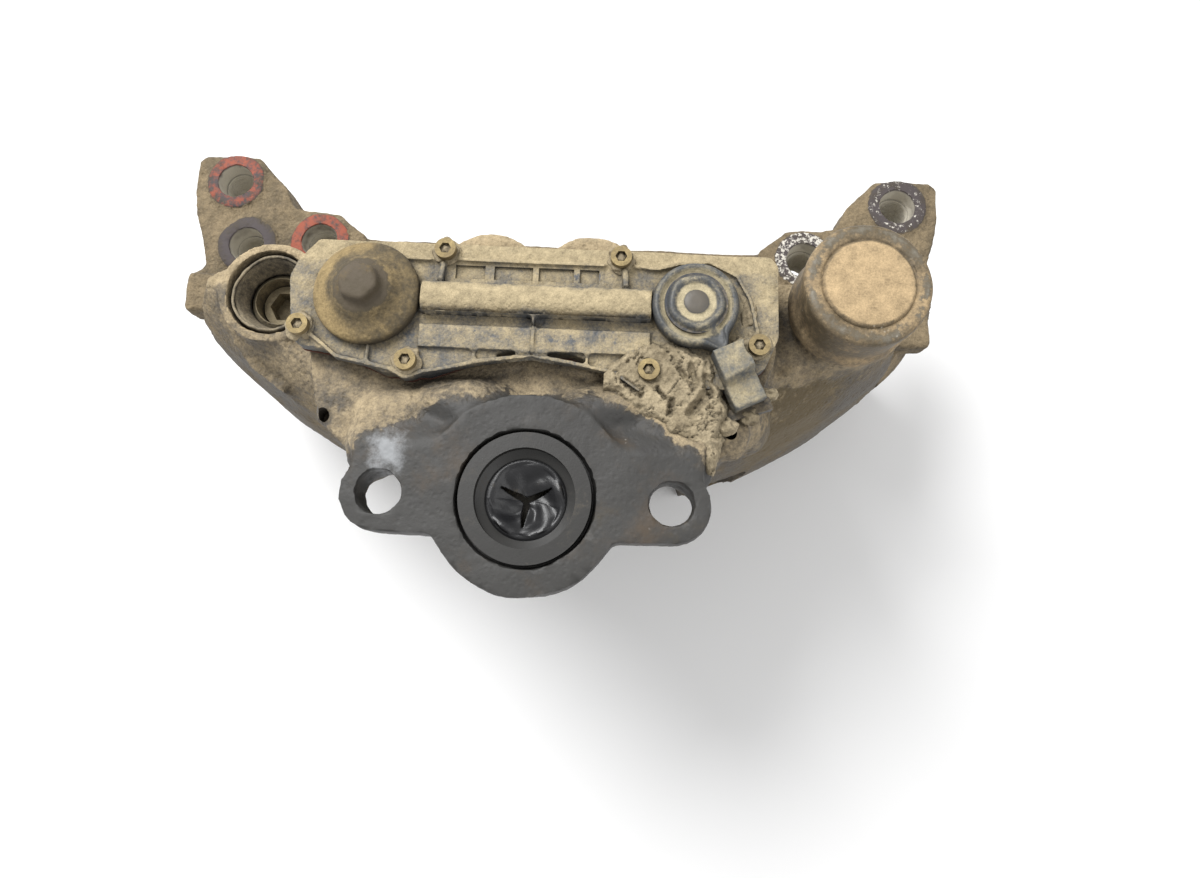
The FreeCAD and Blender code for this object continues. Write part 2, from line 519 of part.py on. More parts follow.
# ---------------------------------------------------------------- actuator boot and lever
def make_lever():
    """The lever that the actuator's rod pushes, its eccentric roller, needles and race."""
    boot = [
        ("rod_bore - 5", "-9"), ("rod_bore - 5", "-7.6"), ("rod_bore - 0.6", "-5"),
        ("rod_bore - 0.6", "-0.8"),
        ("boot_bore - 0.9", "-0.8"), ("boot_bore - 0.9", "-boot_depth + 0.1"),
        ("rod_bore - 0.2", "-boot_depth + 0.1"),
        ("rod_bore - 0.2", "-9"),
    ]
    node(turned("actuator_boot", boot))
    membrane = [("0", "-10.4"), ("0", "-9.2"), ("rod_bore - 5.6", "-9.2"), ("rod_bore - 1", "-9.1"),
                ("rod_bore - 1", "-10.4")]
    node(turned("boot_membrane", membrane))

    left = "tappet_middle - cam_length / 2"
    right = "tappet_middle + cam_length / 2"
    pivot = Vector(0, value("tappet_y"), value("pivot_z"))
    cup_angle = math.degrees(math.atan2(value("cup_z") - pivot.z, -pivot.y))
    arm_length = math.hypot(pivot.y, value("cup_z") - pivot.z)
    lean = -20
    cam = cross_rod("cam", "cam_radius", left, right, "tappet_y", "pivot_z")
    flat = doc.addObject("Part::Box", "cam_flat")
    bind(flat, Length="cam_length + 2", Width="cam_radius * 3", Height="cam_radius * 2")
    flat.Placement = Placement(
        Vector(value(left) - 1, pivot.y, pivot.z), Rotation(Vector(1, 0, 0), lean)
    ) * Placement(Vector(0, -value("cam_radius") * 1.5, 2 - value("cam_radius") * 2), Rotation())
    roller_y = pivot.y - 6 * math.cos(math.radians(20))
    roller_z = pivot.z + 6 * math.sin(math.radians(20))
    groove = cross_rod("roller_groove", "roller_radius + 0.1", left + " - 1", right + " + 1", roller_y,
                       roller_z)
    half_cam = cut("half_cam", cam, flat, groove)
    # the arm is drawn along its own length, then turned up to the actuator's rod
    arm_body = doc.addObject("PartDesign::Body", "lever_arm")
    arm_points = [
        ("0", "-12"), ("12", "-9"), ("18.5", "-0.5"), (arm_length * 0.6, "-6"), (arm_length + 8, "-5"),
        (arm_length + 8, "3"), (arm_length * 0.55, "11"), ("32", "11"), ("22", "3"), ("12", "2"),
        ("0", "0"),
    ]
    sketch = outline(arm_body, "XZ_Plane", arm_points, "-lever_width / 2")
    pad = arm_body.newObject("PartDesign::Pad", "lever_arm_pad")
    pad.Profile = sketch
    bind(pad, Length="lever_width")
    swing = Rotation(Vector(1, 0, 0), cup_angle) * Rotation(Vector(0, 0, 1), 90)
    arm_body.Placement = Placement(Vector(0, pivot.y, pivot.z), swing)
    cup = rod("lever_cup_blank", "cup_radius + 3", "cup_z - 7", "cup_z + 3")
    hollow = doc.addObject("Part::Sphere", "lever_cup_hollow")
    bind(hollow, Radius="cup_radius")
    put(hollow, "0", "0", "cup_z + 6")
    trimmed = cut("lever_arm_trimmed", arm_body, cross_rod(
        "arm_roller_room", "roller_radius + 0.1", left + " - 1", right + " + 1", roller_y, roller_z))
    node(cut("lever", fuse("lever_forging", half_cam, trimmed, cup), hollow))
    node(cross_rod("eccentric_roller", "roller_radius", left + " + 1", right + " - 1", roller_y, roller_z))

    race = cross_rod("race_blank", "race_outer", left, right, "tappet_y", "pivot_z")
    inside = cross_rod("race_inside", "race_outer - race_wall", left + " - 1", right + " + 1",
                       "tappet_y", "pivot_z")
    below = block("race_below", (left + " - 1", right + " + 1"),
                  ("tappet_y - race_outer - 1", "tappet_y + race_outer + 1"),
                  ("pivot_z - race_outer - 1", "pivot_z + race_outer * 0.42"))
    node(cut("bearing_race", race, inside, below))
    path = value("cam_radius") + value("needle_radius") + 0.1
    length = value("cam_length") - 6
    needles = []
    for turn in range(-52, 53, 13):
        angle = math.radians(90 + turn)
        start = Vector(value(left) + 3, pivot.y + path * math.cos(angle), pivot.z + path * math.sin(angle))
        needles.append(Part.makeCylinder(value("needle_radius"), length, start, Vector(1, 0, 0)))
    from_shape("bearing_needles", needles)
    return roller_y, roller_z


# ---------------------------------------------------------------- bridge, tubes and tappets
def make_traverse(roller_y, roller_z):
    """The bridge that the lever pushes, with a threaded tube and a tappet at each end."""
    bottom = "traverse_top - traverse_depth"
    half = "traverse_length / 2"
    beam = block(
        "traverse_beam", (f"tappet_middle - {half} + 18", f"tappet_middle + {half} - 18"),
        ("tappet_y - traverse_width / 2", "tappet_y + traverse_width / 2"), (bottom, "traverse_top"),
    )
    rib = block(
        "traverse_rib", ("tappet_middle - cam_length / 2", "tappet_middle + cam_length / 2"),
        (f"{roller_y} - rib_width / 2", f"{roller_y} + rib_width / 2"),
        ("traverse_top - 1", "traverse_top + rib_height"),
    )
    ends = []
    tools = [
        cross_rod("traverse_groove", "roller_radius + 0.4", "tappet_middle - cam_length / 2 - 1",
                  "tappet_middle + cam_length / 2 + 1", str(roller_y), str(roller_z)),
        rod("spring_pocket", "spring_outer + 1.5", f"{bottom} - 1", f"{bottom} + spring_seat",
            "tappet_middle", "tappet_y"),
    ]
    for side, tube_x, _ in SIDES:
        ends.append(rod(f"traverse_end_{side}", "traverse_end", bottom, "traverse_top", tube_x, "tappet_y"))
        tools.append(rod(f"traverse_thread_{side}", "tube_radius + 0.06", f"{bottom} - 1",
                         "traverse_top + 1", tube_x, "tappet_y"))
    node(cut("bridge", fuse("bridge_forging", beam, rib, *ends), *tools))

    spigot = "(tube_bore + tube_radius) / 2 - 0.5"
    for side, tube_x, _ in SIDES:
        foot = f"{TAPPET_FACE} + tappet_thickness"
        tube = [
            ("tube_bore", f"{foot} - 4"), (spigot, f"{foot} - 4"),
            (spigot, f"{foot} + 1"),
            ("tube_radius", f"{foot} + 3"), ("tube_radius", "tube_top - 1.5"),
            ("tube_radius - 1.5", "tube_top"),
            ("tube_bore", "tube_top"),
        ]
        node(turned(f"threaded_tube_{side}", tube, tube_x, "tappet_y"))
        head = [
            ("0", TAPPET_FACE), ("tappet_radius - 1.5", TAPPET_FACE),
            ("tappet_radius", f"{TAPPET_FACE} + 1.5"),
            ("tappet_radius", f"{TAPPET_FACE} + 5"), ("tappet_radius - 4", foot),
            (f"{spigot} + 0.1", foot),
            (f"{spigot} + 0.1", f"{foot} - 4.1"), ("0", f"{foot} - 4.1"),
        ]
        node(turned(f"tappet_{side}", head, tube_x, "tappet_y"))
        bellows_top = "plate_top - plate_thickness - 0.1"
        bellows_foot = f"{foot} + 0.1"
        middle = f"(({bellows_top}) + ({bellows_foot})) / 2"
        folds = [
            ("tube_radius + 0.6", bellows_foot), ("tappet_radius - 4.5", bellows_foot),
            ("tappet_radius - 0.5", f"({middle}) - 0.8"), ("tappet_radius - 0.5", f"({middle}) + 0.8"),
            ("tappet_radius - 2", bellows_top), ("tube_radius + 0.6", bellows_top),
        ]
        node(turned(f"tappet_boot_{side}", folds, tube_x, "tappet_y"))

    closing = plate("closing_plate_blank", CLOSING_PLATE, "plate_top - plate_thickness",
                    "plate_top - 0.02", "7")
    openings = [
        rod(f"closing_hole_{side}", "tube_radius + 0.8", "plate_top - plate_thickness - 1",
            "plate_top + 1", tube_x, "tappet_y")
        for side, tube_x, _ in SIDES
    ]
    screws = []
    for number, (x, y) in enumerate(PLATE_SCREWS):
        openings.append(rod(f"screw_room_{number}", "2.8", "plate_top - plate_thickness - 1",
                            "plate_top + 1", x, y))
        head = rod(f"screw_head_{number}", "4.5", "plate_top - plate_thickness - 3",
                   "plate_top - plate_thickness", x, y)
        shank = rod(f"screw_shank_{number}", "2.5", "plate_top - plate_thickness - 1",
                    "casing_bottom + 13", x, y)
        screws.append(fuse(f"screw_{number}", head, shank))
    node(cut("closing_plate", closing, *openings))
    group = doc.addObject("Part::Compound", "closing_plate_screws")
    group.Links = screws
    node(group)


# ---------------------------------------------------------------- return spring
def make_return_spring():
    """A stack of disc springs that pushes the bridge back against the lever, on the closing plate."""
    discs = 6
    low = value("plate_top") + 0.2
    high = value("traverse_top - traverse_depth + spring_seat") - 0.2
    pitch = (high - low) / discs
    radii = ["spring_outer - 1.8" if step % 2 else "spring_inner" for step in range(discs + 1)]
    inside = [(radius, low + pitch * step) for step, radius in enumerate(radii)]
    points = [(radius, f"{height:.4f}") for radius, height in inside]
    points += [(f"{radius} + 1.8", f"{height:.4f}") for radius, height in reversed(inside)]
    node(turned("return_spring", points, "tappet_middle", "tappet_y"))


# ---------------------------------------------------------------- adjuster and chain
def make_adjuster():
    """The adjuster in the left tube, the follower shaft in the right one, their sprockets and chain."""
    ceiling = "face_z - face_wall"
    sprocket_bottom = "chain_z - sprocket_thickness / 2"
    sprocket_top = "chain_z + sprocket_thickness / 2"
    tops = {"left": "cover_top + 9", "right": "cover_top + 2"}
    for side, tube_x, _ in SIDES:
        profile = [
            ("0", "-100"), ("9", "-100"), ("shaft_radius", "-98"), ("shaft_radius", "tube_top + 1.5"),
            ("shaft_radius + 3.5", "tube_top + 2"), ("shaft_radius + 3.5", f"{ceiling} - 0.5"),
            ("shaft_radius", f"{ceiling} - 0.5"), ("shaft_radius", "face_z - chain_pocket"),
            ("5", "face_z - chain_pocket"), ("5", tops[side]), ("0", tops[side]),
        ]
        name = "adjuster_unit" if side == "left" else "follower_shaft"
        node(turned(name, profile, tube_x, "tappet_y"))
        radius = value("sprocket_radius")
        teeth = round(2 * math.pi * radius / value("link_pitch"))
        disc = rod(f"sprocket_disc_{side}", "sprocket_radius", sprocket_bottom, sprocket_top, tube_x,
                   "tappet_y")
        notches = [rod(f"sprocket_bore_{side}", "5", "chain_z - 10", "chain_z + 10", tube_x, "tappet_y")]
        for tooth in range(teeth):
            angle = 2 * math.pi * tooth / teeth
            x = f"{tube_x} + {radius * math.cos(angle):.4f}"
            y = f"tappet_y + {radius * math.sin(angle):.4f}"
            notches.append(rod(f"sprocket_gap_{side}_{tooth}", "link_pitch * 0.28", "chain_z - 10",
                               "chain_z + 10", x, y))
        node(cut(f"sprocket_{side}", disc, *notches))

    head = doc.addObject("Part::Prism", "adjuster_hex")
    head.Polygon = 6
    bind(head, Circumradius="5.6", Height="6")
    put(head, LEFT_TUBE_X, "tappet_y", "cover_top + 9")
    node(head)

    spacing = value("tappet_spacing")
    radius = value("chain_radius")
    loop = 2 * spacing + 2 * math.pi * radius
    count = 2 * round(loop / value("link_pitch") / 2)
    middle = Vector(value(LEFT_TUBE_X), value("tappet_y"), value("chain_z"))

    def spot(distance):
        """The place on the chain's loop at this distance along it."""
        distance = distance % loop
        turn = math.pi * radius
        if distance < spacing:
            return middle + Vector(distance, radius, 0)
        if distance < spacing + turn:
            angle = math.pi / 2 - (distance - spacing) / radius
            return middle + Vector(spacing + radius * math.cos(angle), radius * math.sin(angle), 0)
        if distance < 2 * spacing + turn:
            return middle + Vector(2 * spacing + turn - distance, -radius, 0)
        angle = -math.pi / 2 - (distance - 2 * spacing - turn) / radius
        return middle + Vector(radius * math.cos(angle), radius * math.sin(angle), 0)

    solids = []
    for index in range(count):
        here = spot(index * loop / count)
        there = spot((index + 1) * loop / count)
        level = 1.3 if index % 2 else 2.4
        angle = math.degrees(math.atan2(there.y - here.y, there.x - here.x))
        length = (there - here).Length
        for height in (level, -level - 1):
            link = Part.makeBox(length + 2.4, 2.6, 0.95, Vector(-1.2, -1.3, height))
            link.Placement = Placement(here, Rotation(Vector(0, 0, 1), angle))
            solids.append(link)
        solids.append(Part.makeCylinder(1.2, 2.4, here + Vector(0, 0, -1.2)))
    from_shape("chain", solids)


# ---------------------------------------------------------------- cover, caps and sensor
COVER = [
    ("-110", "94"), ("-107", "102"), ("-98.5", "112"), ("101", "111.5"), ("104.6", "107"), ("104.6", "74"),
    ("99", "60.5"), ("86", "50"), ("45", "50"), ("33", "56.5"), ("15", "63"), ("-8", "64"),
    ("-28", "58.5"), ("-45", "51.5"), ("-64", "51.5"), ("-85", "60"), ("-103", "62.5"), ("-107", "70"),
]


def make_cover():
    """The plastic chain cover, its gasket and bolts, the two rubber caps and the wear sensor."""
    def grown(points, step):
        """The outline moved in towards its middle by a step."""
        middle_x = "tappet_middle"
        middle_y = "tappet_y - 3"
        return [
            (f"{x} {'+' if float(x) < value(middle_x) else '-'} {step}",
             f"{y} {'+' if float(y) < value(middle_y) else '-'} {step}") for x, y in points
        ]

    shell = plate("cover_shell", COVER, "cover_bottom", "cover_top", "3")
    hollow = plate("cover_hollow", grown(COVER, 5), "cover_bottom - 1", "cover_top - cover_wall")
    band = block(
        "cover_band", (f"{LEFT_TUBE_X} + cap_base + 0.5", f"{RIGHT_TUBE_X} - sensor_cap_radius - 0.5"),
        ("tappet_y - 8", "tappet_y + 7"), ("cover_top - 1", "band_top"),
    )
    low_band = block(
        "cover_low_band", (f"{LEFT_TUBE_X} + cap_base + 0.5",
                           f"{RIGHT_TUBE_X} - sensor_cap_radius - 0.5"), ("tappet_y - 23", "tappet_y - 12"),
        ("cover_top - 1", "cover_top + 2.5"),
    )
    collar_left = rod("collar_left", "16", "cover_top - 1", "cover_top + 3", LEFT_TUBE_X, "tappet_y")
    collar_right = rod("collar_right", "14.5", "cover_top - 1", "cover_top + 3", RIGHT_TUBE_X, "tappet_y")
    bosses = []
    tools = [
        rod("cover_hole_left", "9", "cover_bottom - 1", "cover_top + 4", LEFT_TUBE_X, "tappet_y"),
        rod("cover_hole_right", "9", "cover_bottom - 1", "cover_top + 4", RIGHT_TUBE_X, "tappet_y"),
    ]
    heads = []
    for number, (x, y) in enumerate(COVER_BOLTS):
        bosses.append(rod(f"cover_boss_{number}", "cover_bolt_boss", "cover_bottom", "cover_top + 1.5",
                          x, y))
        tools.append(rod(f"cover_room_{number}", "cover_bolt_shank + 0.3", "cover_bottom - 1",
                         "cover_top + 3", x, y))
        head = rod(f"cover_head_{number}", "cover_bolt_head", "cover_top + 1.5", "cover_top + 5.5", x, y)
        shank = rod(f"cover_shank_{number}", "cover_bolt_shank - 0.45", "face_z - 12", "cover_top + 2",
                    x, y)
        socket = doc.addObject("Part::Prism", f"cover_socket_{number}")
        socket.Polygon = 6
        bind(socket, Circumradius="2.6", Height="4")
        put(socket, x, y, "cover_top + 3")
        heads.append(cut(f"cover_bolt_{number}", fuse(f"cover_bolt_blank_{number}", head, shank), socket))
    outer = fuse("cover_outer", cut("cover_tray", shell, hollow), band, low_band, collar_left,
                 collar_right, *bosses)
    node(cut("chain_cover", outer, *tools))
    group = doc.addObject("Part::Compound", "cover_bolts")
    group.Links = heads
    node(group)

    seal = plate("gasket_blank", COVER, "face_z", "face_z + gasket_thickness", "3")
    window = plate("gasket_window", grown(COVER, 6), "face_z - 1", "face_z + 2")
    seal_holes = [
        rod(f"gasket_hole_{number}", "cover_bolt_shank + 0.3", "face_z - 1", "face_z + 2", x, y)
        for number, (x, y) in enumerate(COVER_BOLTS)
    ]
    pads = [
        rod(f"gasket_pad_{number}", "cover_bolt_boss", "face_z", "face_z + gasket_thickness", x, y)
        for number, (x, y) in enumerate(COVER_BOLTS)
    ]
    ring = fuse("gasket_ring", cut("gasket_frame", seal, window), *pads)
    node(cut("cover_gasket", ring, *seal_holes))

    cap = [
        ("16.2", "cover_top + 0.1"), ("cap_base", "cover_top + 0.1"), ("cap_base", "cover_top + 2"),
        ("cap_base - 6", "cover_top + 7"), ("cap_base - 12.5", "nub_top - 6"),
        ("nub_radius + 1", "nub_top - 4"),
        ("nub_radius", "nub_top - 1"), ("nub_radius - 1", "nub_top"), ("0", "nub_top"),
        ("0", "cover_top + 15.4"), ("6", "cover_top + 15.4"), ("6", "cover_top + 8.5"),
        ("16.2", "cover_top + 4"),
    ]
    node(turned("adjuster_cap", cap, LEFT_TUBE_X, "tappet_y"))
    top = "sensor_cap_top"
    edge = "sensor_cap_radius"
    lid = [
        ("14.7", "cover_top + 0.1"), (edge, "cover_top + 0.1"), (edge, f"{top} - 3"),
        (f"{edge} - 1.5", f"{top} - 1.5"),
        (f"{edge} - 5", f"{top} - 1.5"), (f"{edge} - 5", f"{top}"), ("7.5", f"{top}"),
        ("7.5", f"{top} - 2.2"),
        ("5", f"{top} - 2.2"), ("5", f"{top} - 0.5"), ("0", f"{top} - 0.5"), ("0", f"{top} - 4.6"),
        ("14.7", f"{top} - 4.6"),
    ]
    node(turned("sensor_cap", lid, RIGHT_TUBE_X, "tappet_y"))
    sensor = [
        ("5.2", "cover_top - 1.5"), ("8.8", "cover_top - 1.5"), ("8.8", "cover_top + 3.2"),
        ("13.5", "cover_top + 3.2"),
        ("13.5", "cover_top + 7.2"), ("0", "cover_top + 7.2"), ("0", "cover_top + 3.2"),
        ("5.2", "cover_top + 3.2"),
    ]
    node(turned("wear_sensor", sensor, RIGHT_TUBE_X, "tappet_y"))

    outlet = doc.addObject("Part::Box", "outlet_box")
    bind(outlet, Length="27", Width="15", Height="9")
    outlet.Placement = Placement(Vector(), Rotation(Vector(0, 0, 1), -65))
    put(outlet, f"{RIGHT_TUBE_X} + 6.5", "tappet_y - 21", "cover_top + 0.1")
    clear_cap = rod("outlet_cap_room", "sensor_cap_radius + 0.3", "cover_top - 1", "cover_top + 12",
                    RIGHT_TUBE_X, "tappet_y")
    clear_bolt = rod("outlet_bolt_room", "cover_bolt_boss + 0.5", "cover_top - 1", "cover_top + 12",
                     *COVER_BOLTS[5])
    node(cut("cable_outlet", outlet, clear_cap, clear_bolt))
    strap = [("77", "34"), ("82", "41.5"), ("92", "45"), ("101", "49"), ("103", "44"), ("92", "40"),
             ("84", "37"), ("80", "32")]
    node(plate("cable_clip", strap, "face_z + 0.05", "face_z + 5"))


# ---------------------------------------------------------------- brake pads
def make_pads():
    """Each pad is a steel backing plate with its lining and a leaf spring along its outer edge."""
    edge_y = f"axle_y - sqrt(pad_outer * pad_outer - pad_half_width * pad_half_width)"
    for side, face, step in (("inner", LINING_FACE_IN, 1), ("outer", LINING_FACE_OUT, -1)):
        back = f"({face}) + {step} * lining_thickness"
        far = f"({back}) + {step} * backing_thickness"
        lining_z = (face, back) if step > 0 else (back, face)
        backing_z = (back, far) if step > 0 else (far, back)
        slab = block(f"{side}_backing_blank", ("-pad_half_width", "pad_half_width"), ("40", "pad_top"),
                     backing_z)
        curve = rod(f"{side}_backing_edge", "pad_outer", backing_z[0], backing_z[1], "0", "axle_y")
        node(common(f"{side}_pad_backing", slab, curve))
        slab = block(f"{side}_lining_blank", ("-lining_half_width", "lining_half_width"),
                     ("40", "lining_top"), lining_z)
        curve = rod(f"{side}_lining_edge", "lining_outer", lining_z[0], lining_z[1], "0", "axle_y")
        shaped = common(f"{side}_lining_shape", slab, curve)
        groove_z = (f"{face} - 1", f"{face} + 16") if step > 0 else (f"{face} - 16", f"{face} + 1")
        groove = block(f"{side}_lining_slot", ("-2.5", "2.5"), ("30", "150"), groove_z)
        node(cut(f"{side}_pad_lining", shaped, groove))
        body = doc.addObject("PartDesign::Body", f"{side}_pad_spring")
        low = "axle_y - pad_outer + 1.5"
        under_bar = "bar_y + bar_thickness + 0.5"
        top_line = [("-62", f"{low} + 5"), ("-46", f"{low} + 1"), ("-24", f"{under_bar} + 4"),
                    ("-9", under_bar),
                    ("9", under_bar), ("24", f"{under_bar} + 4"), ("46", f"{low} + 1"),
                    ("62", f"{low} + 5")]
        under = [(x, f"{y} + spring_thickness") for x, y in reversed(top_line)]
        middle = f"(({backing_z[0]}) + ({backing_z[1]})) / 2"
        sketch = outline(body, "XY_Plane", top_line + under, f"{middle} - 4")
        pad = body.newObject("PartDesign::Pad", f"{side}_pad_spring_pad")
        pad.Profile = sketch
        bind(pad, Length="8")
        room = rod(f"{side}_spring_room", "pad_outer + 0.1", f"{middle} - 6", f"{middle} + 6", "0",
                   "axle_y")
        body.Label = f"{side}_pad_spring_strip"
        node(cut(f"{side}_spring", body, room), f"{side}_pad_spring")
    return edge_y


def make_retainer():
    """The bar over the pads, hooked into the outboard wall and pinned to the housing."""
    bar = block(
        "bar_blank", ("-bar_width / 2", "bar_width / 2"), ("bar_y", "bar_y + bar_thickness"),
        (f"{WALL_FACE} - 14", "-98"),
    )
    node(bar, "retainer_bar")
    pin_y = "bar_y - 5"
    shank = cross_rod("retainer_pin_shank", "4", "-28", "bar_width / 2 + 14.2", pin_y, "-104")
    head = cross_rod("retainer_pin_head", "6", "bar_width / 2 + 14.1", "bar_width / 2 + 17", pin_y, "-104")
    node(fuse("retainer_pin", shank, head))


make_carrier()
make_housing()
make_guides()
roller_spot = make_lever()
make_traverse(*roller_spot)
make_return_spring()
make_adjuster()
make_cover()
make_pads()
make_retainer()

doc.recompute()
for item in doc.Objects:
    if "Invalid" in item.State or "Error" in item.State:
        raise RuntimeError(f"{item.Label} did not rebuild: {item.State}")
for item in nodes:
    if item.Shape.isNull() or not item.Shape.isValid():
        raise RuntimeError(f"{item.Label} has no valid shape")
os.makedirs("parts", exist_ok=True)
for item in nodes:
    item.Shape.exportStep(f"parts/{item.Label}.step")
    print(f"{item.Label:24s} {item.Shape.Volume / 1000:9.2f} cm3  {len(item.Shape.Solids)} solids")
print(f"{len(nodes)} pieces")
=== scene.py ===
import math

import bmesh
import bpy
import numpy as np
from mathutils import Matrix, Vector, noise


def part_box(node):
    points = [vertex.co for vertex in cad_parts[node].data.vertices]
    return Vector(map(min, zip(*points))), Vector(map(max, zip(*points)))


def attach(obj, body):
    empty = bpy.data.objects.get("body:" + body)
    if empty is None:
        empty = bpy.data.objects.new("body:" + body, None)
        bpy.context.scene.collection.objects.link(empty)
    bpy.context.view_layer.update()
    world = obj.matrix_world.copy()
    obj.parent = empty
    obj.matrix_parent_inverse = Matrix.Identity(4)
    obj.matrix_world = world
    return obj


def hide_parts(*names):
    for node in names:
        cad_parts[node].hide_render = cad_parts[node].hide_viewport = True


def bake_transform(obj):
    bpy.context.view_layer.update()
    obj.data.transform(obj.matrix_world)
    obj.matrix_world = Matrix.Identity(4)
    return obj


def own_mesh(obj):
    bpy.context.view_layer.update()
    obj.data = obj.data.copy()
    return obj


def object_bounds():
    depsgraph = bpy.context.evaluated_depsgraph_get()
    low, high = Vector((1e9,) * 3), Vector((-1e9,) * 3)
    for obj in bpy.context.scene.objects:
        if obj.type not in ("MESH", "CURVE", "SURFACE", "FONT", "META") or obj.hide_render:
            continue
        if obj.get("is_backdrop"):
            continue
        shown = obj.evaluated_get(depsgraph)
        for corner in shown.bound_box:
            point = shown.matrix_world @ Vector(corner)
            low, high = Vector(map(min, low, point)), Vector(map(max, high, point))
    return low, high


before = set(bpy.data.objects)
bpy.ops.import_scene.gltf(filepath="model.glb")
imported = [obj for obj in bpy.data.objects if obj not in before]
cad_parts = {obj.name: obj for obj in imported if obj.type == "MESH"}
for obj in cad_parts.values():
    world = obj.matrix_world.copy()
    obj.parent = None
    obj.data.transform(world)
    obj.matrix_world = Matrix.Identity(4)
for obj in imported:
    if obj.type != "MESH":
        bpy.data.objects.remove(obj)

low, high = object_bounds()

# ------------------------------------------------------------------ carrier
# The carrier is one ductile iron casting bolted to the axle bracket through six tapped holes.
# It is as-cast except for the spot faces and threads, and it is covered with dried road dirt.
MM = 0.001
DUST = "#a89779"


def tint(code, alpha=1.0):
    """A colour written as #rrggbb, as the linear values that shaders use."""
    parts = [int(code[i:i + 2], 16) / 255 for i in (1, 3, 5)]
    return tuple(v / 12.92 if v < 0.04045 else ((v + 0.055) / 1.055) ** 2.4 for v in parts) + (alpha,)


def shader(tree, kind, settings=None, **inputs):
    """A new shader node. Inputs are values, or sockets to link from."""
    made = tree.nodes.new(kind)
    for key, value in (settings or {}).items():
        setattr(made, key, value)
    for key, value in inputs.items():
        name = key.replace("_", " ")
        socket = made.inputs[int(key[1:])] if key[0] == "i" and key[1:].isdigit() else made.inputs[name]
        if isinstance(value, bpy.types.NodeSocket):
            tree.links.new(value, socket)
        else:
            socket.default_value = value
    return made


def maths(tree, operation, a, b=0.0, c=None, clamp=False):
    """The output of one Math node."""
    inputs = {"i0": a, "i1": b}
    if c is not None:
        inputs["i2"] = c
    made = shader(tree, "ShaderNodeMath", {"operation": operation, "use_clamp": clamp}, **inputs)
    return made.outputs[0]


def mixed(tree, factor, a, b, blend="MIX"):
    """The colour output of one Mix node."""
    made = shader(tree, "ShaderNodeMix", {"data_type": "RGBA", "blend_type": blend, "clamp_factor": True})
    for index, value in ((0, factor), (6, a), (7, b)):
        if isinstance(value, bpy.types.NodeSocket):
            tree.links.new(value, made.inputs[index])
        else:
            made.inputs[index].default_value = value
    return made.outputs[2]


def ramped(tree, value, low_edge, high_edge):
    """A smooth step of the value between two edges."""
    made = shader(tree, "ShaderNodeMapRange", {"interpolation_type": "SMOOTHSTEP"}, Value=value,
                  From_Min=low_edge, From_Max=high_edge)
    return made.outputs[0]


def cloud(tree, place, scale, detail=4.0, roughness=0.6):
    """The output of one noise texture, about 0.5 on average."""
    made = shader(tree, "ShaderNodeTexNoise", None, Vector=place, Scale=scale, Detail=detail,
                  Roughness=roughness)
    return made.outputs[0]


def group(name, inputs, outputs):
    """An empty shader group with its input and output nodes."""
    tree = bpy.data.node_groups.new(name, "ShaderNodeTree")
    for label, kind, value in inputs:
        socket = tree.interface.new_socket(label, in_out="INPUT", socket_type=kind)
        socket.default_value = value
    for label, kind in outputs:
        tree.interface.new_socket(label, in_out="OUTPUT", socket_type=kind)
    start = tree.nodes.new("NodeGroupInput")
    end = tree.nodes.new("NodeGroupOutput")
    return tree, start, end


FLOAT, COLOR, VECTOR = "NodeSocketFloat", "NodeSocketColor", "NodeSocketVector"


def grain_group():
    """Cast or moulded skin: a bumpy normal and the height it comes from."""
    tree, start, end = group(
        "surface_grain", [("Scale", FLOAT, 400.0), ("Depth", FLOAT, 0.0004), ("Pits", FLOAT, 0.5)],
        [("Normal", VECTOR), ("Height", FLOAT)])
    place = shader(tree, "ShaderNodeTexCoord").outputs["Object"]
    fine = cloud(tree, place, maths(tree, "MULTIPLY", start.outputs["Scale"], 2.6), 2.0)
    coarse = cloud(tree, place, maths(tree, "MULTIPLY", start.outputs["Scale"], 0.45), 5.0, 0.7)
    cells = shader(tree, "ShaderNodeTexVoronoi", None, Vector=place, Scale=start.outputs["Scale"])
    hollow = ramped(tree, cells.outputs["Distance"], 0.0, 0.55)
    pits = maths(tree, "MULTIPLY", hollow, start.outputs["Pits"])
    height = maths(tree, "ADD", maths(tree, "MULTIPLY", fine, 0.45), maths(tree, "ADD", coarse, pits))
    bump = shader(tree, "ShaderNodeBump", None, Strength=1.0, Distance=start.outputs["Depth"],
                  Height=height)
    tree.links.new(bump.outputs[0], end.inputs["Normal"])
    tree.links.new(height, end.inputs["Height"])
    return tree


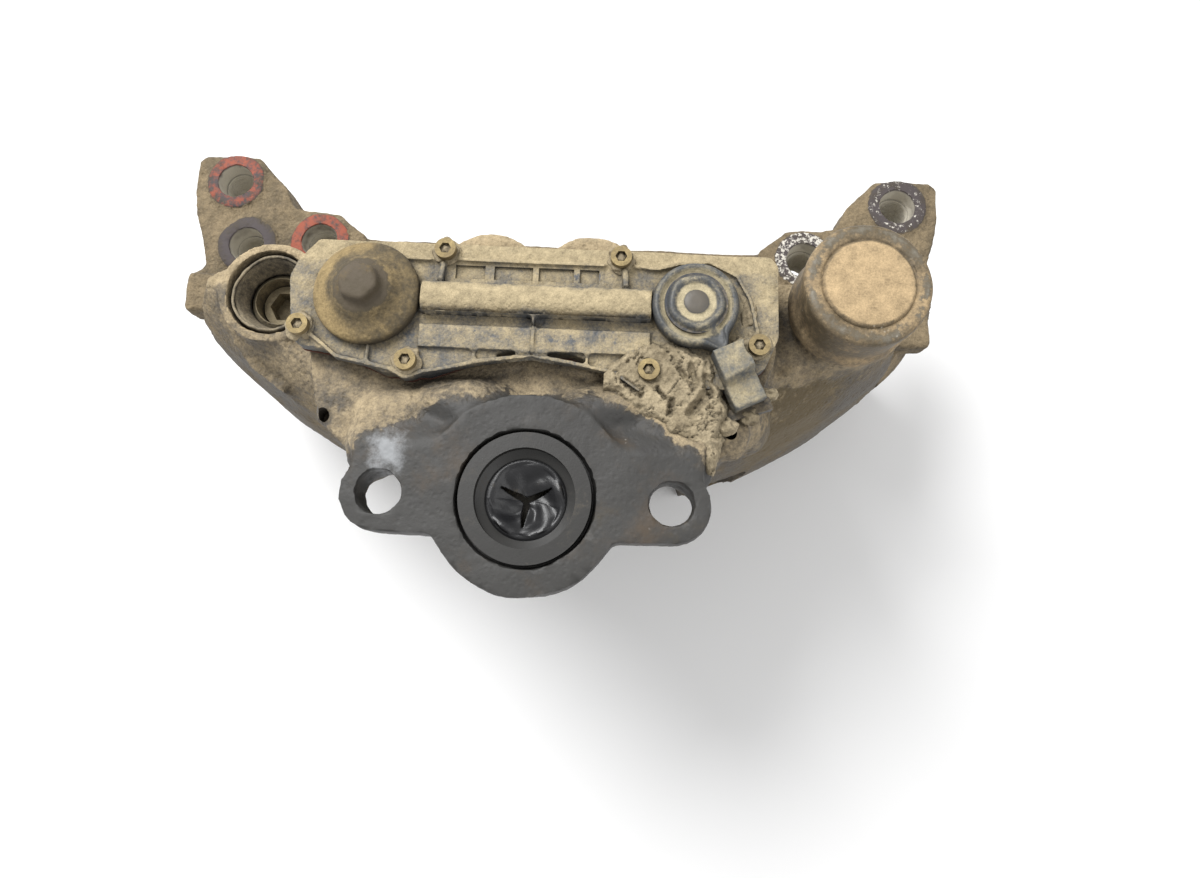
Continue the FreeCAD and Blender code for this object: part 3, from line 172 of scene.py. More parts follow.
def dust_and_shade_group():
    """Dust and dirt that settles where the surface looks up, broken by noise, then painted shade that
    darkens creases and hollows.
    """
    tree, start, end = group(
        "settled_dust_and_painted_shade",
        [("Base", COLOR, (0.1, 0.1, 0.1, 1)), ("Dust", COLOR, (0.4, 0.3, 0.2, 1)), ("Amount", FLOAT, 0.5),
         ("Scale", FLOAT, 40.0)],
        [("Color", COLOR), ("Mask", FLOAT)])
    place = shader(tree, "ShaderNodeTexCoord").outputs["Object"]
    normal = shader(tree, "ShaderNodeNewGeometry").outputs["Normal"]
    split = shader(tree, "ShaderNodeSeparateXYZ", None, Vector=normal)
    broad = cloud(tree, place, start.outputs["Scale"], 6.0, 0.65)
    fine = cloud(tree, place, maths(tree, "MULTIPLY", start.outputs["Scale"], 11.0), 3.0, 0.7)
    total = maths(tree, "ADD", start.outputs["Amount"], maths(tree, "MULTIPLY", split.outputs[2], 0.16))
    total = maths(tree, "ADD", total, maths(tree, "MULTIPLY_ADD", broad, 1.1, -0.55))
    total = maths(tree, "ADD", total, maths(tree, "MULTIPLY_ADD", fine, 0.5, -0.25))
    mask = ramped(tree, total, 0.3, 0.8)
    middle = cloud(tree, place, maths(tree, "MULTIPLY", start.outputs["Scale"], 3.1), 5.0, 0.7)
    salt = cloud(tree, place, maths(tree, "MULTIPLY", start.outputs["Scale"], 26.0), 3.0, 0.8)
    middle = maths(tree, "MULTIPLY_ADD", middle, 1.5, -0.1)
    tone = maths(tree, "ADD", middle, maths(tree, "MULTIPLY_ADD", salt, 1.3, -0.3))
    shade = shader(tree, "ShaderNodeCombineXYZ", None, X=tone, Y=tone, Z=tone).outputs[0]
    dust = mixed(tree, 1.0, start.outputs["Dust"], shade, "MULTIPLY")
    # Painted shade: ambient occlusion darkens the colour in creases, hollows and between parts, to about
    # half at the deepest.
    shut = shader(tree, "ShaderNodeAmbientOcclusion", {"samples": 5}, Distance=0.014).outputs["AO"]
    painted_crevice_shade = maths(tree, "MULTIPLY_ADD", ramped(tree, shut, 0.3, 0.95), 0.52, 0.48)
    shadow = shader(tree, "ShaderNodeCombineXYZ", None, X=painted_crevice_shade, Y=painted_crevice_shade, Z=painted_crevice_shade).outputs[0]
    color = mixed(tree, 1.0, mixed(tree, mask, start.outputs["Base"], dust), shadow, "MULTIPLY")
    tree.links.new(color, end.inputs["Color"])
    tree.links.new(mask, end.inputs["Mask"])
    return tree


def bloom_group():
    """Patches of a second colour: rust, primer or scuffs."""
    tree, start, end = group(
        "patches", [("Base", COLOR, (0.1, 0.1, 0.1, 1)), ("Patch", COLOR, (0.3, 0.1, 0.05, 1)),
                    ("Amount", FLOAT, 0.3), ("Scale", FLOAT, 90.0)],
        [("Color", COLOR), ("Mask", FLOAT)])
    place = shader(tree, "ShaderNodeTexCoord").outputs["Object"]
    aside = shader(tree, "ShaderNodeVectorMath", {"operation": "ADD"}, i0=place, i1=(3.1, 1.7, 0.4))
    broad = cloud(tree, aside.outputs[0], start.outputs["Scale"], 7.0, 0.72)
    mask = ramped(tree, maths(tree, "ADD", broad, start.outputs["Amount"]), 0.72, 0.9)
    tree.links.new(mixed(tree, mask, start.outputs["Base"], start.outputs["Patch"]), end.inputs["Color"])
    tree.links.new(mask, end.inputs["Mask"])
    return tree


def speck_group():
    """Small bright or dark specks."""
    tree, start, end = group("specks", [("Scale", FLOAT, 500.0), ("Amount", FLOAT, 0.2)], [("Mask", FLOAT)])
    place = shader(tree, "ShaderNodeTexCoord").outputs["Object"]
    cells = shader(tree, "ShaderNodeTexVoronoi", None, Vector=place, Scale=start.outputs["Scale"])
    spot = maths(tree, "SUBTRACT", 1.0, ramped(tree, cells.outputs["Distance"], 0.12, 0.3))
    field = maths(tree, "ADD", cloud(tree, place, 55.0, 5.0), start.outputs["Amount"])
    field = ramped(tree, field, 0.62, 0.8)
    tree.links.new(maths(tree, "MULTIPLY", spot, field), end.inputs["Mask"])
    return tree


GRAIN = grain_group()
DUST_AND_SHADE = dust_and_shade_group()
PATCHES = bloom_group()
SPECKS = speck_group()


def effect(tree, kind, **inputs):
    """One of the shared groups, placed in a material."""
    made = tree.nodes.new("ShaderNodeGroup")
    made.node_tree = kind
    for key, value in inputs.items():
        if isinstance(value, bpy.types.NodeSocket):
            tree.links.new(value, made.inputs[key])
        else:
            made.inputs[key].default_value = value
    return made


def material(name, base, roughness=0.6, metallic=0.0, grain=400.0, depth=0.0003, pits=0.5, dust=DUST,
             amount=0.0, dust_scale=40.0, patch=None, patch_amount=0.1, patch_scale=90.0, specks=None,
             speck_amount=0.1, speck_scale=500.0, wiped=None, dusty=None, bare=None, tweak=None,
             low_tone=None, low_edges=(-0.085, -0.02)):
    """A finished surface: base colour, patches, specks and settled dust over a grained skin, with painted
    shade in its creases.
    """
    made = bpy.data.materials.new(name)
    made.use_nodes = True
    tree = made.node_tree
    surface = tree.nodes["Principled BSDF"]
    color, level, deep = tint(base), amount, depth
    if wiped:
        mask = shader(tree, "ShaderNodeAttribute", {"attribute_name": wiped}).outputs["Fac"]
        place = shader(tree, "ShaderNodeTexCoord").outputs["Object"]
        uneven = maths(tree, "MULTIPLY_ADD", cloud(tree, place, 150.0, 7.0, 0.72), 1.5, -0.75)
        mask = ramped(tree, maths(tree, "ADD", mask, uneven), 0.15, 0.85)
        color = mixed(tree, mask, color, tint(bare or base))
        level = maths(tree, "MULTIPLY_ADD", mask, -1.1, amount)
        deep = maths(tree, "MULTIPLY_ADD", mask, -0.8 * depth, depth)
    if dusty:
        extra = shader(tree, "ShaderNodeAttribute", {"attribute_name": dusty}).outputs["Fac"]
        level = maths(tree, "MULTIPLY_ADD", extra, 0.9, level)
    skin = effect(tree, GRAIN, Scale=grain, Depth=deep, Pits=pits)
    tree.links.new(skin.outputs["Normal"], surface.inputs["Normal"])
    if patch:
        color = effect(tree, PATCHES, Base=color, Patch=tint(patch), Amount=patch_amount,
                       Scale=patch_scale).outputs["Color"]
    if tweak:
        color = tweak(tree, color)
    if specks:
        spots = effect(tree, SPECKS, Scale=speck_scale, Amount=speck_amount).outputs["Mask"]
        color = mixed(tree, spots, color, tint(specks))
    powder = tint(dust)
    # Below the given heights the dust takes a second colour: darker towards the bottom.
    if low_tone:
        place = shader(tree, "ShaderNodeTexCoord").outputs["Object"]
        height = shader(tree, "ShaderNodeSeparateXYZ", None, Vector=place).outputs[2]
        uneven = maths(tree, "MULTIPLY_ADD", cloud(tree, place, 22.0), 0.06, -0.03)
        uneven = maths(tree, "ADD", height, uneven)
        powder = mixed(tree, ramped(tree, uneven, *low_edges), tint(low_tone), tint(dust))
    # The dust layer also darkens creases and hollows with painted shade from ambient occlusion.
    layer = effect(tree, DUST_AND_SHADE, Base=color, Dust=powder, Amount=level, Scale=dust_scale)
    tree.links.new(layer.outputs["Color"], surface.inputs["Base Color"])
    cover = layer.outputs["Mask"]
    rough = maths(tree, "MULTIPLY_ADD", cover, 0.93 - roughness, roughness)
    tree.links.new(rough, surface.inputs["Roughness"])
    if metallic:
        metal = maths(tree, "MULTIPLY_ADD", cover, -metallic, metallic)
        tree.links.new(metal, surface.inputs["Metallic"])
    return made


def add(name, mesh, body, finish, replaces=()):
    """A finished mesh as a piece of the model that rides on one body."""
    made = bpy.data.objects.new(name, mesh)
    bpy.context.collection.objects.link(made)
    mesh.materials.clear()
    for item in finish if isinstance(finish, (list, tuple)) else [finish]:
        mesh.materials.append(item)
    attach(made, body)
    if replaces:
        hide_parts(*replaces)
    return made


def lathe(bm, profile, centre, steps=48):
    """Adds a profile of (radius, height) points in mm, spun about a line along Z through centre."""
    spots = [bm.verts.new(Vector((centre[0] + r, centre[1], z)) * MM) for r, z in profile]
    edges = [bm.edges.new((a, b)) for a, b in zip(spots, spots[1:])]
    pivot = Vector((centre[0], centre[1], 0)) * MM
    bmesh.ops.spin(bm, geom=spots + edges, cent=pivot, axis=(0, 0, 1), dvec=(0, 0, 0),
                   angle=2 * math.pi, steps=steps, use_merge=True, use_duplicate=False)
    bmesh.ops.remove_doubles(bm, verts=bm.verts, dist=0.00001)


def box(bm, lo, hi, bevel=0.0):
    """Adds a box between two corners in mm."""
    result = bmesh.ops.create_cube(bm, size=1.0)
    a, b = Vector(lo) * MM, Vector(hi) * MM
    for vertex in result["verts"]:
        vertex.co = Vector([(a[i] + b[i]) / 2 + vertex.co[i] * (b[i] - a[i]) for i in range(3)])
    if bevel:
        edges = list({edge for vertex in result["verts"] for edge in vertex.link_edges})
        bmesh.ops.bevel(bm, geom=edges, offset=bevel * MM, offset_type="OFFSET", segments=3, profile=0.5,
                        affect="EDGES", material=-1, clamp_overlap=True)


def rod(bm, centre, radius, bottom, top, steps=48):
    """Adds a closed cylinder along Z, in mm."""
    lathe(bm, [(0, bottom), (radius, bottom), (radius, top), (0, top)], centre, steps)


def settled(mesh, *changes):
    """The mesh that a list of (modifier kind, settings) makes of this one."""
    holder = bpy.data.objects.new("holder", mesh)
    bpy.context.collection.objects.link(holder)
    for kind, settings in changes:
        modifier = holder.modifiers.new(kind.lower(), kind)
        for key, value in settings.items():
            setattr(modifier, key, value)
    bpy.context.view_layer.update()
    depsgraph = bpy.context.evaluated_depsgraph_get()
    result = bpy.data.meshes.new_from_object(holder.evaluated_get(depsgraph))
    bpy.data.objects.remove(holder)
    return result


def corners(mesh):
    """The vertices as an array, in mm."""
    spots = np.empty(len(mesh.vertices) * 3)
    mesh.vertices.foreach_get("co", spots)
    return spots.reshape(-1, 3) / MM


def moved(mesh, spots):
    """Puts the vertices at these places, in mm."""
    mesh.vertices.foreach_set("co", (spots * MM).astype(np.float32).ravel())
    mesh.update()


def roughened(mesh, coarse, fine, seed=0.0):
    """Pushes the vertices in along their normals by two sizes of noise, depths in mm."""
    spots = corners(mesh)
    normals = np.empty(len(mesh.vertices) * 3)
    mesh.vertices.foreach_get("normal", normals)
    normals = normals.reshape(-1, 3)
    for i in range(len(spots)):
        place = Vector(spots[i])
        depth = coarse * (noise.noise(place * 0.055 + Vector((seed, 0, 0))) - 0.6)
        depth += fine * (noise.noise(place * 0.37 + Vector((0, seed, 0))) - 0.6)
        spots[i] += normals[i] * depth
    moved(mesh, spots)


def casting(name, source, voxel, limit, cutters=None, extras=None, rounds=4, coarse=0.5, fine=0.22):
    """A node's shape with softened edges and a cast skin, then crisp cuts where it was machined."""
    bm = bmesh.new()
    bm.from_mesh(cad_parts[source].data)
    if extras:
        extras(bm)
    mesh = bpy.data.meshes.new(name)
    bm.to_mesh(mesh)
    bm.free()
    mesh = settled(mesh, ("REMESH", {"mode": "VOXEL", "voxel_size": voxel * MM, "use_smooth_shade": True}),
                   ("SMOOTH", {"factor": 0.5, "iterations": rounds}))
    roughened(mesh, coarse, fine)
    if cutters:
        tool_mesh = bpy.data.meshes.new(name + "_cutters")
        bm = bmesh.new()
        cutters(bm)
        bmesh.ops.recalc_face_normals(bm, faces=bm.faces)
        bm.to_mesh(tool_mesh)
        bm.free()
        tool = bpy.data.objects.new(name + "_cutters", tool_mesh)
        bpy.context.collection.objects.link(tool)
        mesh = settled(mesh, ("BOOLEAN", {"operation": "DIFFERENCE", "object": tool, "solver": "MANIFOLD"}))
        bpy.data.objects.remove(tool)
    faces = sum(len(p.vertices) - 2 for p in mesh.polygons)
    if faces > limit:
        mesh = settled(mesh, ("DECIMATE", {"ratio": limit / faces}))
    mesh.shade_smooth()
    mesh.set_sharp_from_angle(angle=math.radians(42))
    return mesh


def thread(bm, centre, inner, outer, bottom, top, pitch=1.5):
    """Adds a rod whose side has the rings of a thread, in mm."""
    count = int((top - bottom) / pitch)
    profile = [(0, bottom), (inner, bottom)]
    for i in range(count):
        profile += [(inner, bottom + pitch * (i + 0.1)), (outer, bottom + pitch * (i + 0.55))]
    profile += [(inner, bottom + pitch * count), (inner, top), (0, top)]
    lathe(bm, profile, centre, 40)


EAR_FACE = -110.0
EAR_HOLES = [(196, 195), (184, 155), (141.5, 159)]
SPOTS = [(sign * x, y) for sign in (-1, 1) for x, y in EAR_HOLES]


def carrier_cuts(bm):
    """The spot faces, the holes' unthreaded mouths and their threads."""
    for x, y in SPOTS:
        rod(bm, (x, y), 17.2, EAR_FACE - 0.9, EAR_FACE + 4)
        rod(bm, (x, y), 9.7, EAR_FACE - 11, EAR_FACE)
        thread(bm, (x, y), 8.2, 9.0, -153, EAR_FACE - 10.5)


def near(spots, centre, radius, soft):
    """1 inside a circle seen from above, falling to 0 over a soft edge."""
    gap = np.hypot(spots[:, 0] - centre[0], spots[:, 1] - centre[1]) - radius
    return np.clip(1 - gap / soft, 0, 1)


def marked(mesh, name, values):
    """Keeps one number for each vertex, for the materials to read."""
    mesh.attributes.new(name, "FLOAT", "POINT").data.foreach_set("value", values.astype(np.float32))


def ring_colors(tree, color):
    """Red primer on the left mounting rings, white bloom on the right ones and pale threads: bare machined
    metal, made paler still as painted light.
    """
    place = shader(tree, "ShaderNodeTexCoord").outputs["Object"]
    primer = shader(tree, "ShaderNodeAttribute", {"attribute_name": "primer"}).outputs["Fac"]
    uneven = maths(tree, "MULTIPLY_ADD", cloud(tree, place, 210.0, 6.0, 0.7), 1.6, -0.8)
    ragged = ramped(tree, maths(tree, "ADD", primer, uneven), 0.35, 0.75)
    color = mixed(tree, ragged, color, tint("#96503c"))
    bloom = shader(tree, "ShaderNodeAttribute", {"attribute_name": "bloom"}).outputs["Fac"]
    uneven = maths(tree, "MULTIPLY_ADD", cloud(tree, place, 420.0, 7.0, 0.75), 2.4, -1.2)
    ragged = ramped(tree, maths(tree, "ADD", bloom, uneven), 0.6, 0.75)
    color = mixed(tree, ragged, color, tint("#cfcabf"))
    # Painted light: the threads get a pale colour so the holes look lit inside, where the lamps hardly
    # reach.
    cut_and_lit = shader(tree, "ShaderNodeAttribute", {"attribute_name": "cut_and_lit"}).outputs["Fac"]
    return mixed(tree, cut_and_lit, color, tint("#c9c3b4"))


def carrier_extras(bm):
    """The cast tabs beside the guide bosses, at the two ends."""
    box(bm, (-209, 108, -118), (-180, 132, -97), 3)
    box(bm, (186, 105, -118), (209, 127, -100), 3)


body = casting("carrier_casting", "carrier", 1.45, 170000,
               carrier_cuts, carrier_extras, rounds=6, coarse=0.9, fine=0.3)
spots = corners(body)
face = np.clip((spots[:, 2] - (EAR_FACE - 2.2)) / 0.8, 0, 1)
ringed = sum(near(spots, spot, 16.6, 1.0) for spot in SPOTS)
inside = sum(near(spots, spot, 10.2, 0.8) for spot in SPOTS) * (spots[:, 2] > -151)
marked(body, "wiped", np.clip(ringed * face * 0.62 + inside, 0, 1))
red = {(-196, 195): 0.5, (-141.5, 159): 0.66, (-184, 155): 0.08}
# The threaded walls, painted pale in ring_colors: bare machined metal and painted light.
marked(body, "cut_and_lit", inside * (spots[:, 2] < EAR_FACE - 1.5))
marked(body, "primer", sum(near(spots, spot, 16.6, 1.0) * face * value for spot, value in red.items()))
white = {(196, 195): 0.45, (141.5, 159): 0.62, (184, 155): 0.42}
marked(body, "bloom", sum(near(spots, spot, 17.0, 1.0) * face * value for spot, value in white.items()))
# The carrier's dust is darker towards the bottom.
carrier_finish = material("carrier_iron", "#4a4234", 0.78, grain=330, depth=0.0011, amount=0.5,
                          dust="#82735a", low_tone="#5a4c36", low_edges=(-0.16, -0.112),
                          patch="#5b452b", patch_amount=0.14, patch_scale=35, wiped="wiped", bare="#4a4343",
                          tweak=ring_colors)
add("carrier_casting", body, "carrier_body", carrier_finish, ["carrier"])

# ------------------------------------------------------------------ caliper housing
# The housing is one ductile iron casting, from the actuator flange over the disc to the outboard wall.
# The flange face, its bore and the holes are machined; the rest is as-cast under dust and dried mud.


def strip(bm, points, width, bottom, top):
    """Adds a wall of this width along a line of points seen from above, in mm."""
    for a, b in zip(points, points[1:]):
        a, b = Vector((*a, 0)), Vector((*b, 0))
        side = (b - a).normalized().cross(Vector((0, 0, 1))) * width / 2
        ring = [a + side, b + side, b - side, a - side]
        lower = [bm.verts.new((p + Vector((0, 0, bottom))) * MM) for p in ring]
        upper = [bm.verts.new((p + Vector((0, 0, top))) * MM) for p in ring]
        bm.faces.new(lower[::-1])
        bm.faces.new(upper)
        for i in range(4):
            j = (i + 1) % 4
            bm.faces.new((lower[i], lower[j], upper[j], upper[i]))
    for point in points:
        rod(bm, point, width / 2, bottom, top, 16)


def lump(bm, centre, radii, seed=0.0, rough=0.25):
    """Adds a rounded lump with an uneven surface, in mm."""
    made = bmesh.ops.create_icosphere(bm, subdivisions=4, radius=1.0)
    for vertex in made["verts"]:
        shift = 1 + rough * noise.noise(vertex.co * 1.7 + Vector((seed, 0, seed)))
        vertex.co = Vector([(centre[i] + vertex.co[i] * radii[i] * shift) * MM for i in range(3)])


def housing_cuts(bm):
    """The stud holes, the two small blind holes and the boot's seat."""
    for sign in (-1, 1):
        rod(bm, (sign * 60.325, 0), 8.7, -22, 3)
    rod(bm, (-92.2, 34.5), 2.9, -26, 3, 24)
    rod(bm, (85.4, 33.1), 2.9, -26, 3, 24)
    rod(bm, (0, 0), 28.3, -6, 2, 96)


def housing_extras(bm):
    """The swellings and ribs that the casting has beyond its plain shape."""
    # rounded shoulders where the flange grows out of the casing
    for sign in (-1, 1):
        lump(bm, (sign * 68, 22, -15), (12, 17, 13), sign, 0.1)
        lump(bm, (sign * 58, 34, -18), (24, 15, 14), sign, 0.1)
        lump(bm, (sign * 30, 40, -17), (26, 14, 15), sign, 0.1)
        lump(bm, (sign * 96, 70, -52), (18, 24, 30), sign, 0.1)
    lump(bm, (84, 33, -22), (13, 11, 11), 3.0, 0.15)
    lump(bm, (-91, 38, -24), (8, 9, 9), 5.0, 0.15)
    lump(bm, (-86, 50, -40), (16, 18, 22), 6.0, 0.1)
    lump(bm, (94, 46, -42), (16, 18, 22), 7.0, 0.1)
    # cast ribs on the crown of the casing
    lump(bm, (-23, 108, -24), (22, 10, 10), 8.0, 0.15)
    lump(bm, (25, 108, -24), (22, 10, 10), 9.0, 0.15)
    # the ridge along the left shoulder
    strip(bm, [(-152, 75), (-140, 62.5), (-124, 51.5)], 2.6, -92, -47)


body = casting("housing_casting", "caliper_housing", 1.5,
               190000, housing_cuts, housing_extras, rounds=5, coarse=0.8, fine=0.3)
spots = corners(body)
# below a step on the right shoulder the iron is bare, rough and rusty
step = 59.5 + 0.33 * (spots[:, 0] - 106) + 0.8 * np.sin(spots[:, 0] * 0.35) - spots[:, 1]
below = np.clip(step, 0, 1) * np.clip((-18 - spots[:, 2]) / 6, 0, 1)
below *= np.clip((spots[:, 0] - 98) / 9, 0, 1) * np.clip((158 - spots[:, 0]) / 22, 0, 1)
below *= np.clip((spots[:, 2] + 125) / 50, 0, 1)
spots[:, 2] -= 4.0 * below * np.clip(1.6 - step / 26, 0, 1)
moved(body, spots)
marked(body, "bared", below)
edge = 47 - 0.0052 * spots[:, 0] ** 2
wave = np.array([noise.noise(Vector(p) * 0.09) * 5 + noise.noise(Vector(p) * 0.5) * 2 for p in spots])
wave += np.array([noise.noise(Vector(p) * 1.3) * 1.6 for p in spots])
upper = np.clip((edge + wave - spots[:, 1]) / 8 + 0.3, 0, 1) * np.clip((spots[:, 2] + 17) / 5, 0, 1)
marked(body, "wiped", np.maximum(upper, below * 0.4))
patchy = np.clip(1 - np.hypot(spots[:, 0] + 58, (spots[:, 1] - 17) * 0.8) / 17, 0, 1)
marked(body, "pale", patchy)
tan = np.clip((spots[:, 1] - 98) / 8, 0, 1) * np.clip((spots[:, 2] + 40) / 10, 0, 1)
tan = np.maximum(tan, near(spots, (-130, 96), 20.6, 0.4) * 0.6)
marked(body, "tan", tan)


def flange_colors(tree, color):
    """Brown stains, the bared olive iron below the step and the scuff beside the left stud hole."""
    place = shader(tree, "ShaderNodeTexCoord").outputs["Object"]
    pale = shader(tree, "ShaderNodeAttribute", {"attribute_name": "pale"}).outputs["Fac"]
    uneven = maths(tree, "MULTIPLY_ADD", cloud(tree, place, 160.0, 7.0, 0.7), 1.2, -0.6)
    ragged = maths(tree, "ADD", pale, uneven)
    stain = ramped(tree, cloud(tree, place, 28.0, 6.0, 0.68), 0.5, 0.75)
    color = mixed(tree, maths(tree, "MULTIPLY", stain, 0.5), color, tint("#57452e"))
    bared = shader(tree, "ShaderNodeAttribute", {"attribute_name": "bared"}).outputs["Fac"]
    patchy = maths(tree, "MULTIPLY_ADD", cloud(tree, place, 45.0, 6.0, 0.7), 1.6, -0.8)
    color = mixed(tree, ramped(tree, maths(tree, "ADD", bared, patchy), 0.1, 0.9), color, tint("#57492c"))
    return mixed(tree, ramped(tree, ragged, 0.4, 0.95), color, tint("#8b8d8f"))


# The housing's dust is darker towards the bottom.
housing_finish = material("housing_iron", "#4b453c", 0.6, grain=380, depth=0.0009, amount=0.44,
                          low_tone="#6a5c43", patch="#2e2c2c", patch_amount=0.12, patch_scale=38,
                          wiped="wiped", bare="#363533", dusty="tan", specks="#c9c6be",
                          speck_amount=-0.02, speck_scale=420, tweak=flange_colors)
add("housing_casting", body, "caliper_body", housing_finish, ["caliper_housing"])

# ------------------------------------------------------------------ guide sleeves, bolts and bushes
# Each guide is a ground steel sleeve held to the carrier by a bolt with a hexagon socket. It slides in
# a bronze bush in the housing. The left one has lost its cap, so its sleeve and bolt are dusty.


def dressed(node, finish):
    """Gives a node of the frame its finish, with smooth faces and sharp edges."""
    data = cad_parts[node].data
    data.materials.clear()
    data.materials.append(finish)
    data.shade_smooth()
    data.set_sharp_from_angle(angle=math.radians(35))


bright_steel = material("bright_steel", "#b5b4b0", 0.3, 1.0, grain=1200, depth=0.00002, amount=-0.1)
zinc_steel = material("zinc_steel", "#8f8c86", 0.42, 0.85, grain=900, depth=0.00005, amount=0.25)
bronze = material("bronze", "#a5793c", 0.4, 0.9, grain=1000, depth=0.00003, amount=-0.1)
sleeve_finish = material("dusty_sleeve", "#5d564a", 0.55, 0.4, grain=500, depth=0.0003, amount=0.6,
                         dust="#978a6e", dust_scale=80)
guide_bolt_finish = material("dusty_bolt", "#6b6251", 0.5, 0.4, grain=500, depth=0.0003, amount=0.62,
                             dust="#a89a7c", dust_scale=80)
dressed("guide_sleeve_left", sleeve_finish)
dressed("guide_sleeve_right", bright_steel)
dressed("guide_bolt_left", guide_bolt_finish)
dressed("guide_bolt_right", zinc_steel)
for side in ("left", "right"):
    dressed("guide_bush_" + side, bronze)


def softened(node, finish):
    """A copy of a node's mesh, in its finish, for a piece that changes shape as joints move."""
    made = bpy.data.objects.new(node + "_soft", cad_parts[node].data.copy())
    bpy.context.collection.objects.link(made)
    made.data.materials.clear()
    made.data.materials.append(finish)
    made.data.shade_smooth()
    made.data.set_sharp_from_angle(angle=math.radians(35))
    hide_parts(node)
    return made


bellows_finish = material("bellows_rubber", "#1f1f20", 0.55, grain=600, depth=0.0002, amount=0.25,
                          dust="#6d604a")
for side in ("left", "right"):
    bellows = softened("guide_boot_" + side, bellows_finish)
    low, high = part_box("guide_boot_" + side)
    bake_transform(bellows)

# ------------------------------------------------------------------ left guide's torn seal
# The left guide has lost its end cap. The moulded rubber that sealed it is left in the bore as a
# ragged ring with a creased lip.
SEAL_SPOT = (-130, 96)


def meshed(name, bm, angle=38):
    """A mesh from bmesh data, its normals put right and its soft edges smoothed."""
    bmesh.ops.recalc_face_normals(bm, faces=bm.faces)
    mesh = bpy.data.meshes.new(name)
    bm.to_mesh(mesh)
    bm.free()
    mesh.shade_smooth()
    mesh.set_sharp_from_angle(angle=math.radians(angle))
    return mesh


def polar(bm, rings, centre, steps, shape, keep=None):
    """Adds a round sheet from rings of (radius, height) in mm, moved by shape(radius, angle, height)."""
    rows = []
    for radius, height in rings:
        row = []
        for i in range(steps):
            angle = 2 * math.pi * i / steps
            r, a, z = shape(radius, angle, height)
            place = (centre[0] + r * math.cos(a), centre[1] + r * math.sin(a), z)
            row.append(bm.verts.new(Vector(place) * MM))
        rows.append(row)
    for k in range(len(rows) - 1):
        for i in range(steps):
            j = (i + 1) % steps
            radius = (rings[k][0] + rings[k + 1][0]) / 2
            if keep is None or keep(radius, 2 * math.pi * (i + 0.5) / steps):
                bm.faces.new((rows[k][i], rows[k][j], rows[k + 1][j], rows[k + 1][i]))
    return rows


def seal_shape(radius, angle, height):
    """A ragged upper edge, with a fold that leans inward at the upper left."""
    rag = noise.noise(Vector((math.cos(angle), math.sin(angle), 0)) * 2.3)
    fine = noise.noise(Vector((math.cos(angle), math.sin(angle), 1)) * 9)
    share = max(0.0, (height + 40) / 10)
    lean = 2.6 * math.exp(-((angle - 2.5) / 0.7) ** 2)
    return radius - share * (lean + 0.5 * fine), angle, height + share * (1.4 * rag + 0.6 * fine)


def skirt_shape(radius, angle, height):
    """The seal's inner lip, creased and uneven."""
    wave = noise.noise(Vector((math.cos(angle), math.sin(angle), height * 0.05)) * 2.6)
    return radius + 0.25 * wave, angle, height + 0.9 * wave


bm = bmesh.new()
polar(bm, [(19.7, -46), (19.7, -40), (19.6, -36), (19.3, -33.5), (18.9, -32.2)], SEAL_SPOT, 120, seal_shape)
lip = [(18.7, -34.5), (17.6, -37.0), (16.3, -40.5), (15.3, -44.0), (14.9, -45.5)]
polar(bm, lip, SEAL_SPOT, 120, skirt_shape)
body = settled(meshed("torn_seal", bm, 70), ("SOLIDIFY", {"thickness": 0.0012, "offset": -1.0}))
body.shade_smooth()
torn_finish = material("torn_rubber", "#2b2a29", 0.6, grain=500, depth=0.0003, amount=0.5, dust="#938770",
                       dust_scale=60)
add("torn_seal", body, "caliper_body", torn_finish, ["guide_seal_left"])

# ------------------------------------------------------------------ right guide's cap
# The right guide is closed by a pressed steel cap with a raised disc, worn to bare metal at its rim.
# It is pressed over the boss and has small dents.
GUIDE_SPOT = (140, 96)


def dented(radius, angle, height):
    """The pressing isn't quite round or flat any more."""
    dent = noise.noise(Vector((radius * math.cos(angle), radius * math.sin(angle), height)) * 0.12)
    sunk = 0.3 * abs(dent) if height > 6 else 0
    return radius + (0.35 * dent if radius > 20 else 0), angle, height - sunk


bm = bmesh.new()
rings = [(25.6, -23.9), (27.5, -23.9), (27.5, -19.6), (26.6, -17.6), (26.0, -16), (26.2, -12), (26.6, -4),
         (27.2, 3.2), (27.0, 5.2), (26.1, 6.5), (24.4, 7.0), (22.4, 6.8), (20.8, 6.8), (20.3, 6.3),
         (19.9, 6.2), (19.5, 6.9), (18.9, 7.6), (17.9, 8.0), (12, 8.0), (6, 8.0), (0.05, 8.0)]
polar(bm, rings, GUIDE_SPOT, 128, dented)
body = meshed("guide_cap_pressing", bm, 50)
spots = corners(body)
gap = np.hypot(spots[:, 0] - GUIDE_SPOT[0], spots[:, 1] - GUIDE_SPOT[1])
marked(body, "dusty", np.clip((18.8 - gap) / 1.0, 0, 1) * np.clip((spots[:, 2] - 4) / 2, 0, 1) * 0.35)
worn = np.clip(1 - np.abs(gap - 24) / 4, 0, 1) * np.clip((spots[:, 2] - 3) / 2, 0, 1)
marked(body, "wiped", worn * 0.42)
press_finish = material("pressed_cap", "#5e5340", 0.55, 0.2, grain=420, depth=0.0003, amount=0.42,
                        dust="#ad9673", dust_scale=48, dusty="dusty", wiped="wiped", bare="#8b877c",
                        patch="#5d4f39", patch_amount=0.12, patch_scale=60, specks="#d2cdc0",
                        speck_amount=0.06, speck_scale=520)
add("guide_cap_pressing", body, "caliper_body", press_finish, ["guide_cap_right"])

